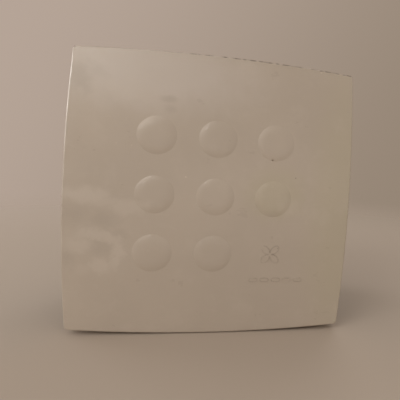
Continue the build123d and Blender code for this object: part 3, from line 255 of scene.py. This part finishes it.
    def finish(self, colour, roughness, normal, **inputs):
        self.feed(self.surface.inputs["Base Color"], colour)
        self.feed(self.surface.inputs["Roughness"], roughness)
        self.feed(self.surface.inputs["Normal"], normal)
        for name, value in inputs.items():
            self.feed(self.surface.inputs[name.replace("_", " ").title().replace("Ior", "IOR")], value)
        return self.material


def shade(colour, factor):
    return tuple(min(1.0, part * factor) for part in colour[:3])


# ---- the aged cover ----
IVORY = (0.640, 0.572, 0.497)
# Pale cool tint of the painted glare: the lamp's reflection painted onto the face up to the left.
PAINTED_GLARE = (0.735, 0.680, 0.635)
YELLOWED = (0.600, 0.555, 0.415)
PALE = (0.740, 0.675, 0.600)
GRIME = (0.100, 0.075, 0.055)
SETTLED_DUST = (0.33, 0.275, 0.22)
PALE_DUST = (0.42, 0.37, 0.31)
BROWN_GREY = (0.2, 0.18, 0.16)
HOOK_CENTRE = (-92, -48)    # the hooked smear by the left edge
SMEARS = (                  # centre, radii and strength on the cover's face
    ((-102, -42), (9, 6), 0.42),
    ((-86, -58), (7, 6), 0.42),
    ((-96, -61), (6, 4), 0.22),
    ((-98, -3), (16, 6), 0.46),
    ((-82, -7), (14, 4), 0.30),
    ((-66, -11), (15, 6.5), 0.38),
    ((-68, 80), (17, 7), 0.26),
    ((-66, 89), (7, 7), 0.22),
    ((60, -6), (8, 7), 0.25),
)
STAINS = (
    ((-85, -44), (8, 6), 0.30),
    ((-109, -53), (5, 10), 0.32),
    ((-105, -18), (9, 7), 0.26),
    ((-82, -22), (9, 7), 0.28),
    ((-72, -33), (5, 5), 0.24),
    ((-104, 88), (9, 11), 0.36),
    ((-94, 92), (9, 5), 0.22),
    ((-38, 76), (6, 2.5), 0.40),
    ((-38, 68), (4, 3), 0.30),
)


def cover_plastic():
    """Glossy plastic gone ivory with age: yellowed to one side, smeared where it was wiped, dusty on top,
    with a painted glare up to the left and painted shade towards the lower right.
    """
    r = Recipe("cover_plastic")
    colour = r.mix(r.span(r.noise(60, 3.0), 0.35, 0.7), shade(IVORY, 0.97), shade(IVORY, 1.04))
    colour = r.mix(r.product(r.span(r.noise(15, 4.0, 0.6), 0.4, 0.72), 0.25), colour, shade(IVORY, 0.93))
    # Painted shade: the face darkens from the upper left to the lower right, as light falls off away from the
    # lamps up to the left.
    across = r.span(r.total(r.x, r.product(r.z, -1.0)), -190, 200)
    colour = r.mix(r.product(across, 0.5), colour, shade(IVORY, 0.88))
    # Painted glare: a pale cool patch up to the left of the face stands in for the lamp's reflection there.
    colour = r.mix(r.product(r.patch((-50, 96), (70, 26), 1.3), 0.75), colour, PAINTED_GLARE)
    spot = r.patch((50, 4), (24, 20), 1.1)
    side = r.patch((108, -10), (26, 105), 1.3, 0.25, 40)
    colour = r.mix(r.product(r.math("MAXIMUM", spot, side), 0.45), colour, YELLOWED)

    colour = r.mix(cover_stains(r), colour, shade(IVORY, 0.78))
    smears = cover_smears(r)
    colour = r.mix(smears, colour, PALE)
    dots = r.product(r.span(r.cells(17), 0.050, 0.022), r.span(r.noise(31, 1.0), 0.55, 0.60))
    colour = r.mix(r.product(dots, 0.8), colour, shade(PALE, 1.15))
    fly_specks = r.product(r.span(r.cells(23), 0.034, 0.018), r.span(r.noise(40, 1.0), 0.52, 0.58))
    colour = r.mix(r.product(fly_specks, 0.5), colour, shade(GRIME, 2.2))

    colour = r.mix(r.product(r.edges(1.2, 3.0), 0.3), colour, shade(PALE, 1.15))
    colour = r.mix(cover_mark_dirt(r), colour, shade(GRIME, 1.6))
    settled = r.product(r.facing_up(0.6, 0.98), r.span(r.noise(17, 5.0, 0.6), 0.2, 0.8))
    colour = r.mix(r.product(settled, 0.6), colour, SETTLED_DUST)
    grime = cover_top_grime(r)
    colour = r.mix(grime, colour, GRIME)
    behind = r.product(r.span(r.y, -24.0, -12.0), r.span(r.noise(9, 4.0), 0.3, 0.7))
    colour = r.mix(r.product(behind, 0.35), colour, shade(GRIME, 2.6))

    wear = r.product(r.span(r.noise(6, 5.0, 0.7, r.stretch((0.4, 1, 1)), 0.6), 0.42, 0.68), 0.16)
    roughness = r.total(0.235, r.product(r.noise(26, 4.0), 0.10), wear, r.product(smears, 0.3))
    roughness = r.total(roughness, r.product(settled, 0.45), r.product(grime, 0.35))
    peel = r.bump(r.noise(2.4, 2.0), 0.012)
    sink = r.bump(r.noise(40, 1.0), 0.4, peel)
    return r.finish(colour, roughness, sink, specular_ior_level=0.45)


def cover_smears(r):
    """Pale smears left by wiping: a hooked one and a long streak by the left edge, faint ones elsewhere."""
    dx = r.math("SUBTRACT", r.x, HOOK_CENTRE[0])
    dz = r.math("SUBTRACT", r.z, HOOK_CENTRE[1])
    wobble = r.product(r.math("SUBTRACT", r.noise(10, 4.0, 0.65), 0.5), 26)
    away = r.total(r.math("SQRT", r.total(r.product(dx, dx, 0.95), r.product(dz, dz, 1.15))), wobble)
    arc = r.product(r.span(away, 12, 17), r.span(away, 25, 18), r.span(r.total(dx, dz), -10, 14), 0.42)
    marks = arc
    for centre, radii, strength in SMEARS:
        marks = r.math("MAXIMUM", marks, r.product(r.patch(centre, radii, 1.2, 1.1, 8), strength))
    fine = r.noise(5, 4.0, 0.6, r.stretch((0.16, 1, 1)), 1.2)
    faint = r.product(r.span(fine, 0.56, 0.74), 0.12)
    patchy = r.product(r.span(r.noise(20, 5.0, 0.65), 0.5, 0.72), 0.16)
    return r.math("MAXIMUM", marks, r.math("MAXIMUM", faint, patchy))


def cover_stains(r):
    """Dull patches between the smears."""
    total = 0.0
    for centre, radii, strength in STAINS:
        total = r.math("MAXIMUM", total, r.product(r.patch(centre, radii, 1.5, 0.9, 8), strength))
    return total


def cover_mark_dirt(r):
    """Grime caught round the raised mark and its dashes."""
    height = (r.span(r.z, -32, -37), r.span(r.z, -78, -73))
    near = r.product(r.span(r.x, 20, 26), *height, r.span(r.y, -24, -25.5))
    return r.product(r.edges(1.3, 9.0), near, r.span(r.noise(6, 3.0), 0.25, 0.6), 0.42)


def cover_top_grime(r):
    """Dark dust caught in a broken line along the front of the top edge, heavier to the right."""
    along = r.math("DIVIDE", r.x, COVER_HALF_MM)
    edge_z = r.math("SUBTRACT", COVER_TOP_MM, r.product(along, along, COVER_BOW_MM))
    below = r.math("SUBTRACT", edge_z, r.z)
    ragged = r.total(below, r.product(r.noise(3.5, 3.0), -0.9))
    front = r.total(r.y, r.product(r.noise(5, 3.0), 3.0))
    line = r.product(r.span(ragged, 0.95, 0.2), r.span(front, -18.6, -20.8))
    broken = r.span(r.noise(9, 4.0, 0.7, r.stretch((1, 0.7, 0))), 0.42, 0.6)
    return r.product(line, broken, r.span(r.x, -58, 6), 0.7)


# ---- plastics ----
def moulded(name, base, grain=0.9, depth=0.02, gloss=0.55, dust=0.0, wear=0.0):
    """Moulded plastic with a fine spark-eroded grain, faint flow marks, rubbed edges and settled dust."""
    r = Recipe(name)
    flow = r.noise(38, 4.0, 0.6, r.stretch((1, 0.5, 1)), 0.8)
    colour = r.mix(r.span(flow, 0.3, 0.72), shade(base, 0.84), shade(base, 1.14))
    scuffs = r.product(r.span(r.noise(3.2, 5.0, 0.7, r.stretch((0.12, 1, 1.2))), 0.62, 0.78), wear)
    rubbed = r.product(r.edges(0.8, 4.0), r.span(r.noise(7, 4.0), 0.38, 0.62), wear)
    worn = r.math("MAXIMUM", scuffs, rubbed)
    pale = tuple(0.5 * part + 0.22 for part in base)
    colour = r.mix(r.product(worn, 0.7), colour, pale)
    settled = r.product(r.facing_up(), r.span(r.noise(16, 5.0), 0.3, 0.68), dust)
    colour = r.mix(settled, colour, PALE_DUST)
    uneven = r.product(r.noise(12, 4.0), 0.16)
    roughness = r.total(gloss, uneven, r.product(settled, 0.25), r.product(worn, -0.1))
    normal = r.bump(r.noise(grain, 3.0, 0.65), depth, r.rounded(0.35))
    return r.finish(colour, roughness, normal, specular_ior_level=0.4)


def dusty_frame_plastic():
    """White plastic behind the cover, where the drawn-in air leaves a grey film."""
    r = Recipe("frame_plastic")
    base = (0.66, 0.61, 0.53)
    film = r.noise(20, 5.0, 0.65)
    colour = r.mix(r.product(r.span(film, 0.3, 0.72), 0.6), base, (0.34, 0.30, 0.25))
    rim = r.edges(0.9, 4.0)
    colour = r.mix(r.product(rim, 0.35), colour, shade(base, 1.15))
    settled = r.product(r.facing_up(), r.span(r.noise(8, 5.0), 0.3, 0.6), 0.75)
    colour = r.mix(settled, colour, (0.24, 0.21, 0.18))
    roughness = r.total(0.5, r.product(film, 0.25), r.product(settled, 0.2))
    normal = r.bump(r.noise(1.4, 3.0), 0.02, r.rounded(0.35))
    return r.finish(colour, roughness, normal, specular_ior_level=0.4)


def milky_plastic():
    """Thin, slightly see-through moulding for the flap's leaves."""
    r = Recipe("flap_plastic")
    flow = r.noise(14, 4.0, 0.6, None, 1.0)
    colour = r.mix(r.span(flow, 0.3, 0.7), (0.50, 0.50, 0.46), (0.64, 0.63, 0.58))
    settled = r.product(r.facing_up(), r.span(r.noise(6, 5.0), 0.35, 0.7), 0.6)
    colour = r.mix(settled, colour, (0.33, 0.29, 0.24))
    roughness = r.total(0.38, r.product(flow, 0.2), r.product(settled, 0.3))
    normal = r.bump(r.noise(2.0, 2.0), 0.02, r.rounded(0.25))
    return r.finish(colour, roughness, normal, transmission_weight=0.12, subsurface_weight=0.2)


def soft_rubber(name, base):
    """Black rubber with a bloom of pale powder and a fine skin."""
    r = Recipe(name)
    bloom = r.span(r.noise(4, 5.0, 0.7), 0.42, 0.75)
    colour = r.mix(r.product(bloom, 0.5), base, tuple(part + 0.075 for part in base))
    roughness = r.total(0.62, r.product(bloom, 0.2))
    normal = r.bump(r.noise(0.5, 3.0), 0.03, r.rounded(0.4))
    return r.finish(colour, roughness, normal, specular_ior_level=0.3)


def open_foam():
    """Grey foam with open cells."""
    r = Recipe("foam")
    pores = r.cells(0.9)
    colour = r.mix(r.span(pores, 0.1, 0.6), (0.02, 0.02, 0.02), (0.11, 0.11, 0.11))
    return r.finish(colour, 0.95, r.bump(pores, 0.4))


def filter_fibre():
    """Bonded fibre, grey where it has caught dust."""
    r = Recipe("filter_fibre")
    caught = r.noise(22, 5.0, 0.65)
    colour = r.mix(r.span(caught, 0.3, 0.7), (0.50, 0.47, 0.41), (0.27, 0.24, 0.21))
    strands = r.noise(0.7, 4.0, 0.7, r.stretch((1, 0.4, 1)), 2.0)
    colour = r.mix(r.span(strands, 0.45, 0.7), colour, (0.62, 0.59, 0.53))
    return r.finish(colour, 0.9, r.bump(strands, 0.3), sheen_weight=0.3)


# ---- metals ----
def metal(name, base, roughness, streak=(1, 1, 1), size=2.0, tarnish=BROWN_GREY, tarnished=0.25, depth=0.01):
    """Metal with directional finishing marks, rounded edges and blotches of tarnish."""
    r = Recipe(name)
    marks = r.noise(size, 4.0, 0.6, r.stretch(streak))
    colour = r.mix(r.span(marks, 0.3, 0.7), shade(base, 0.88), shade(base, 1.08))
    blotches = r.product(r.span(r.noise(9, 5.0, 0.65), 0.5, 0.72), tarnished)
    colour = r.mix(blotches, colour, tarnish)
    rough = r.total(roughness, r.product(marks, 0.14), r.product(blotches, 0.35))
    normal = r.bump(marks, depth, r.rounded(0.2))
    return r.finish(colour, rough, normal, metallic=r.span(blotches, 0.0, 1.0, 1.0, 0.5))


def galvanised():
    """Zinc-coated sheet with its spangle."""
    r = Recipe("plate_steel")
    spangle = r.cells(7, "F1", r.stretch((1, 0.2, 1.4)))
    colour = r.mix(r.span(spangle, 0.1, 0.7), (0.42, 0.43, 0.44), (0.62, 0.63, 0.64))
    rough = r.span(spangle, 0.0, 0.8, 0.28, 0.5)
    return r.finish(colour, rough, r.bump(spangle, 0.01, r.rounded(0.2)), metallic=0.9)


def laminations():
    """Stack of thin electrical sheets: fine dark seams across the shaft's direction, and a bluish bake."""
    r = Recipe("lamination")
    seams = r.node("ShaderNodeTexWave", wave_type="BANDS", bands_direction="Y")
    r.feed(seams.inputs["Vector"], r.place)
    r.feed(seams.inputs["Scale"], 0.62)
    r.feed(seams.inputs["Distortion"], 0.3)
    lines = seams.outputs["Fac"]
    colour = r.mix(lines, (0.07, 0.07, 0.08), (0.26, 0.27, 0.30))
    colour = r.mix(r.product(r.span(r.noise(11, 4.0), 0.45, 0.7), 0.5), colour, (0.14, 0.16, 0.24))
    return r.finish(colour, 0.42, r.bump(lines, 0.06, r.rounded(0.15)), metallic=0.8)


def copper_winding():
    """Enamelled wire laid in close turns."""
    r = Recipe("copper_wire")
    turns = r.node("ShaderNodeTexWave", wave_type="RINGS", rings_direction="Y")
    r.feed(turns.inputs["Vector"], r.vector_math("ADD", r.place, (9, 0, 3)))
    r.feed(turns.inputs["Scale"], 0.7)
    r.feed(turns.inputs["Distortion"], 0.6)
    turn = turns.outputs["Fac"]
    colour = r.mix(turn, (0.20, 0.065, 0.02), (0.66, 0.26, 0.09))
    return r.finish(colour, 0.3, r.bump(turn, 0.12), metallic=0.75, coat_weight=0.6)


# ---- one material for each slot of the record ----
def slot_materials():
    return {
        "cover_plastic": cover_plastic(),
        "frame_plastic": dusty_frame_plastic(),
        "box_plastic": moulded("box_plastic", (0.115, 0.120, 0.128), 1.1, 0.035, 0.52, 0.62, 0.5),
        "spigot_plastic": moulded("spigot_plastic", (0.085, 0.088, 0.094), 0.9, 0.03, 0.46, 0.6, 0.6),
        "flap_plastic": milky_plastic(),
        "deck_plastic": moulded("deck_plastic", (0.130, 0.135, 0.140), 0.9, 0.03, 0.55, 0.4, 0.2),
        "impeller_plastic": moulded("impeller_plastic", (0.035, 0.036, 0.040), 1.0, 0.03, 0.5, 0.5, 0.2),
        "filter_fibre": filter_fibre(),
        "foam": open_foam(),
        "rubber": soft_rubber("rubber", (0.018, 0.018, 0.020)),
        "zinc_screw": metal("zinc_screw", (0.62, 0.61, 0.57), 0.28, (1, 1, 1), 1.2, (0.30, 0.22, 0.13), 0.5),
        "shaft_steel": metal("shaft_steel", (0.58, 0.58, 0.59), 0.18, (0.1, 3, 0.1), 1.0),
        "bearing_steel": metal("bearing_steel", (0.68, 0.68, 0.70), 0.10, (1, 1, 1), 1.0, tarnished=0.1),
        "lamination": laminations(),
        "cage_aluminium": metal("cage_aluminium", (0.62, 0.63, 0.65), 0.42, (1, 1, 1), 1.0, depth=0.05),
        "bracket_alloy": metal("bracket_alloy", (0.55, 0.56, 0.58), 0.46, (1, 1, 1), 0.9, depth=0.06),
        "plate_steel": galvanised(),
        "copper_wire": copper_winding(),
        "copper_bar": metal("copper_bar", (0.72, 0.33, 0.18), 0.30, (1, 1, 1), 2.0, (0.18, 0.08, 0.05), 0.5),
        "bobbin_nylon": moulded("bobbin_nylon", (0.58, 0.55, 0.44), 1.2, 0.02, 0.4),
        "terminal_plastic": moulded("terminal_plastic", (0.62, 0.61, 0.58), 1.2, 0.02, 0.34, 0.3),
        "terminal_brass": metal("terminal_brass", (0.66, 0.49, 0.20), 0.24, (0.3, 3, 0.3), 1.0),
        "lead_brown": moulded("lead_brown", (0.120, 0.045, 0.018), 1.5, 0.01, 0.3),
        "lead_blue": moulded("lead_blue", (0.020, 0.085, 0.330), 1.5, 0.01, 0.3),
    }


def paint_nodes(materials):
    """Gives each CAD node the material of its slot."""
    for part in frame["record"]["subparts"]:
        mesh = frame["nodes"][part["node"]].data
        mesh.materials.clear()
        mesh.materials.append(materials[part["material_slot"]])


# ---- new pieces ----
def new_piece(name, mesh, body, material):
    """Turns a bmesh into a named piece that rides on a body."""
    data = bpy.data.meshes.new(name)
    mesh.to_mesh(data)
    mesh.free()
    for face in data.polygons:
        face.use_smooth = True
    data.materials.append(material)
    piece = bpy.data.objects.new(name, data)
    bpy.context.scene.collection.objects.link(piece)
    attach(piece, body)
    return piece


def add_strand(mesh, points, radius, sides=3):
    """Thin tube along a short run of points."""
    rings = []
    for index, point in enumerate(points):
        ahead = points[min(index + 1, len(points) - 1)] - points[max(index - 1, 0)]
        ahead.normalize()
        across = ahead.cross(Vector((0, 1, 0)))
        if across.length < 1e-6:
            across = Vector((1, 0, 0))
        across.normalize()
        up = across.cross(ahead)
        ring = []
        for step in range(sides):
            turn = 2 * math.pi * step / sides
            ring.append(mesh.verts.new(point + radius * (math.cos(turn) * across + math.sin(turn) * up)))
        rings.append(ring)
    for near, far in zip(rings, rings[1:]):
        for step in range(sides):
            following = (step + 1) % sides
            mesh.faces.new((near[step], near[following], far[following], far[step]))
    mesh.faces.new(list(reversed(rings[0])))
    mesh.faces.new(rings[-1])


def filter_pad(material):
    """Soft fibre pad: a lofty sheet with an uneven skin and rounded edges, and loose fibres over it."""
    low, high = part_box("filter_mat")
    cells = PAD_CELLS
    mesh = bmesh.new()
    middle = (low.y + high.y) / 2
    half_depth = (high.y - low.y) / 2
    grids = []
    for side in (-1, 1):
        rows = []
        for row in range(cells + 1):
            line = []
            for column in range(cells + 1):
                u, v = column / cells, row / cells
                x = low.x + PAD_INSET + u * (high.x - low.x - 2 * PAD_INSET)
                z = low.z + PAD_INSET + v * (high.z - low.z - 2 * PAD_INSET)
                edge = min(u, v, 1 - u, 1 - v) * cells / PAD_EDGE_CELLS
                loft = PAD_EDGE_LOFT + (1 - PAD_EDGE_LOFT) * math.sin(min(1.0, edge) * math.pi / 2)
                place = Vector((x, side, z))
                lumps = 0.16 * noise.noise(place * 90) + 0.12 * noise.noise(place * 420)
                y = middle + side * half_depth * (loft - PAD_SLACK + lumps)
                line.append(mesh.verts.new((x, y, z)))
            rows.append(line)
        grids.append(rows)
    front, back = grids
    for row in range(cells):
        for column in range(cells):
            a, b = front[row][column], front[row][column + 1]
            c, d = front[row + 1][column + 1], front[row + 1][column]
            mesh.faces.new((a, b, c, d))
            a, b = back[row][column], back[row][column + 1]
            c, d = back[row + 1][column + 1], back[row + 1][column]
            mesh.faces.new((d, c, b, a))
    rim = [(0, i) for i in range(cells)] + [(i, cells) for i in range(cells)]
    rim += [(cells, cells - i) for i in range(cells)] + [(cells - i, 0) for i in range(cells)]
    for (row, column), (next_row, next_column) in zip(rim, rim[1:] + rim[:1]):
        near = (front[next_row][next_column], front[row][column])
        far = (back[row][column], back[next_row][next_column])
        mesh.faces.new((*near, *far))
    draw = random.Random(FIBRE_SEED)
    for _ in range(FIBRES):
        side = draw.choice((-1, 1))
        point = Vector((draw.uniform(low.x, high.x), 0, draw.uniform(low.z, high.z))) * 0.95
        heading = draw.uniform(0, 2 * math.pi)
        bend = draw.uniform(-0.5, 0.5)
        run = []
        for step in range(FIBRE_POINTS):
            lift = middle + side * (half_depth * 0.86 + 0.25 * MM * math.sin(step * 1.3 + heading))
            run.append(Vector((point.x, lift, point.z)))
            point += Vector((math.cos(heading), 0, math.sin(heading))) * FIBRE_STEP * MM
            heading += bend
        add_strand(mesh, run, FIBRE_R)
    piece = new_piece("filter_pad", mesh, "filter", material)
    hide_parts("filter_mat")


def add_speck(mesh, centre, size, draw):
    """Small uneven lump."""
    made = bmesh.ops.create_icosphere(mesh, subdivisions=2, radius=size)
    squash = Vector((draw.uniform(0.8, 1.5), draw.uniform(0.7, 1.0), draw.uniform(0.45, 0.8)))
    phase = Vector((draw.uniform(0, 50), draw.uniform(0, 50), 0))
    for vertex in made["verts"]:
        swell = 1 + 0.45 * noise.noise(vertex.co / size * 1.4 + phase)
        vertex.co = Vector([a * b for a, b in zip(vertex.co * swell, squash)]) + centre


def edge_dust():
    """Specks of fluff and grit that have settled along the cover's top edge."""
    draw = random.Random(DUST_SEED)
    mesh = bmesh.new()
    for x_mm, count, size in DUST_CLUSTERS:
        for _ in range(count):
            x = (x_mm + draw.uniform(-DUST_SPREAD, DUST_SPREAD)) * MM
            along = x / MM / COVER_HALF_MM
            z = (COVER_TOP_MM - COVER_BOW_MM * along * along - DUST_SINK) * MM
            y = COVER_LOW.y + draw.uniform(*DUST_BAND) * MM
            add_speck(mesh, Vector((x, y, z)), size * draw.uniform(0.30, 0.5) * MM, draw)
    new_piece("edge_dust", mesh, "cover", dust_material())


def dust_material():
    """Dark fluff, the same stuff that the filter catches."""
    r = Recipe("dust")
    tone = r.noise(1.0, 3.0)
    colour = r.mix(tone, (0.05, 0.035, 0.025), (0.17, 0.13, 0.10))
    return r.finish(colour, 0.95, r.bump(r.noise(0.3, 3.0), 0.1))


# ---- stage ----
def floor(height):
    """Wide plain pale floor that fades into the surround, so no horizon cuts across the picture."""
    mesh = bmesh.new()
    bmesh.ops.create_grid(mesh, x_segments=1, y_segments=1, size=FLOOR_FAR * 1.5)
    data = bpy.data.meshes.new("floor")
    mesh.to_mesh(data)
    mesh.free()
    piece = bpy.data.objects.new("floor", data)
    piece.location.z = height
    r = Recipe("floor")
    away = r.product(r.vector_math("LENGTH", r.place), MM)
    mottle = r.span(r.noise(900, 3.0), 0.2, 0.8)
    colour = r.mix(mottle, shade(FLOOR, 0.97), FLOOR)
    r.finish(colour, 0.9, r.bump(r.noise(30, 2.0), 0.05), specular_ior_level=0.2)
    clear = r.node("ShaderNodeBsdfTransparent")
    blend = r.node("ShaderNodeMixShader")
    r.feed(blend.inputs[0], r.span(away, FLOOR_NEAR, FLOOR_FAR))
    r.tree.links.new(r.surface.outputs[0], blend.inputs[1])
    r.tree.links.new(clear.outputs[0], blend.inputs[2])
    r.tree.links.new(blend.outputs[0], r.output.inputs[0])
    data.materials.append(r.material)
    bpy.context.scene.collection.objects.link(piece)


def area_light(name, place, aim, size, power, colour, lights_surfaces):
    """Rectangular lamp. One that doesn't light surfaces is only seen in their reflections."""
    data = bpy.data.lights.new(name, "AREA")
    data.shape = "RECTANGLE"
    data.size, data.size_y = size
    data.energy = power
    data.color = colour
    light = bpy.data.objects.new(name, data)
    light.location = place
    light.visible_diffuse = lights_surfaces
    light.rotation_euler = (Vector(aim) - Vector(place)).to_track_quat("-Z", "Y").to_euler()
    bpy.context.scene.collection.objects.link(light)


def studio():
    """Soft key up to the left, fills, and two small lamps whose reflections line the bumps and left edge."""
    for light in LIGHTS:
        area_light(*light)
    bpy.context.scene.world = surround()
    bpy.context.scene.view_settings.view_transform = "Standard"


def surround():
    """Even light from all round. The camera itself sees a backdrop behind the part that falls off in tone."""
    world = bpy.data.worlds.new("surround")
    world.use_nodes = True
    nodes, links = world.node_tree.nodes, world.node_tree.links
    lighting = nodes["Background"]
    lighting.inputs["Color"].default_value = (*SURROUND, 1)
    lighting.inputs["Strength"].default_value = SURROUND_STRENGTH
    corner = nodes.new("ShaderNodeVectorMath")
    corner.operation = "DOT_PRODUCT"
    corner.inputs[1].default_value = BACKDROP_SLOPE
    links.new(nodes.new("ShaderNodeTexCoord").outputs["Window"], corner.inputs[0])
    falloff = nodes.new("ShaderNodeMapRange")
    falloff.interpolation_type = "SMOOTHSTEP"
    falloff.inputs["From Min"].default_value, falloff.inputs["From Max"].default_value = BACKDROP_SPAN
    links.new(corner.outputs["Value"], falloff.inputs["Value"])
    tone = nodes.new("ShaderNodeMix")
    tone.data_type = "RGBA"
    tone.inputs[6].default_value = (*BACKDROP_LIT, 1)
    tone.inputs[7].default_value = (*BACKDROP_SHADED, 1)
    links.new(falloff.outputs[0], tone.inputs["Factor"])
    backdrop = nodes.new("ShaderNodeBackground")
    links.new(tone.outputs[2], backdrop.inputs["Color"])
    seen = nodes.new("ShaderNodeMixShader")
    links.new(nodes.new("ShaderNodeLightPath").outputs["Is Camera Ray"], seen.inputs[0])
    links.new(lighting.outputs[0], seen.inputs[1])
    links.new(backdrop.outputs[0], seen.inputs[2])
    links.new(seen.outputs[0], nodes["World Output"].inputs["Surface"])
    return world


def shift_with_roll(data, holder, path, shift):
    """Shifts the lens in step with the camera's roll, so that a camera set level again has a centred lens."""
    curve = data.driver_add(path)
    curve.driver.type = "SUM"
    roll = curve.driver.variables.new()
    roll.type = "TRANSFORMS"
    roll.targets[0].id = holder
    roll.targets[0].transform_type = "ROT_Y"
    for modifier in list(curve.modifiers):
        curve.modifiers.remove(modifier)
    scale = curve.modifiers.new("GENERATOR")
    scale.poly_order = 1
    scale.coefficients = (0, shift / math.radians(CAMERA_ANGLES[1]))


def camera():
    """Camera at the photograph's viewing angle."""
    data = bpy.data.cameras.new("camera")
    data.lens = CAMERA_LENS
    data.sensor_width = CAMERA_SENSOR
    data.clip_start = CAMERA_CLIP
    made = bpy.data.objects.new("camera", data)
    made.location = Vector((0, FACE_DEPTH, 0)) + Vector(CAMERA_PLACE) * COVER_SIDE
    made.rotation_euler = Euler([math.radians(angle) for angle in CAMERA_ANGLES], "XYZ")
    bpy.context.scene.collection.objects.link(made)
    bpy.context.scene.camera = made
    shift_with_roll(data, made, "shift_x", LENS_SHIFT[0])
    shift_with_roll(data, made, "shift_y", LENS_SHIFT[1])


materials = slot_materials()
paint_nodes(materials)
filter_pad(materials["filter_fibre"])
edge_dust()
floor(cad_box[0].z - FLOOR_DROP)
studio()
camera()
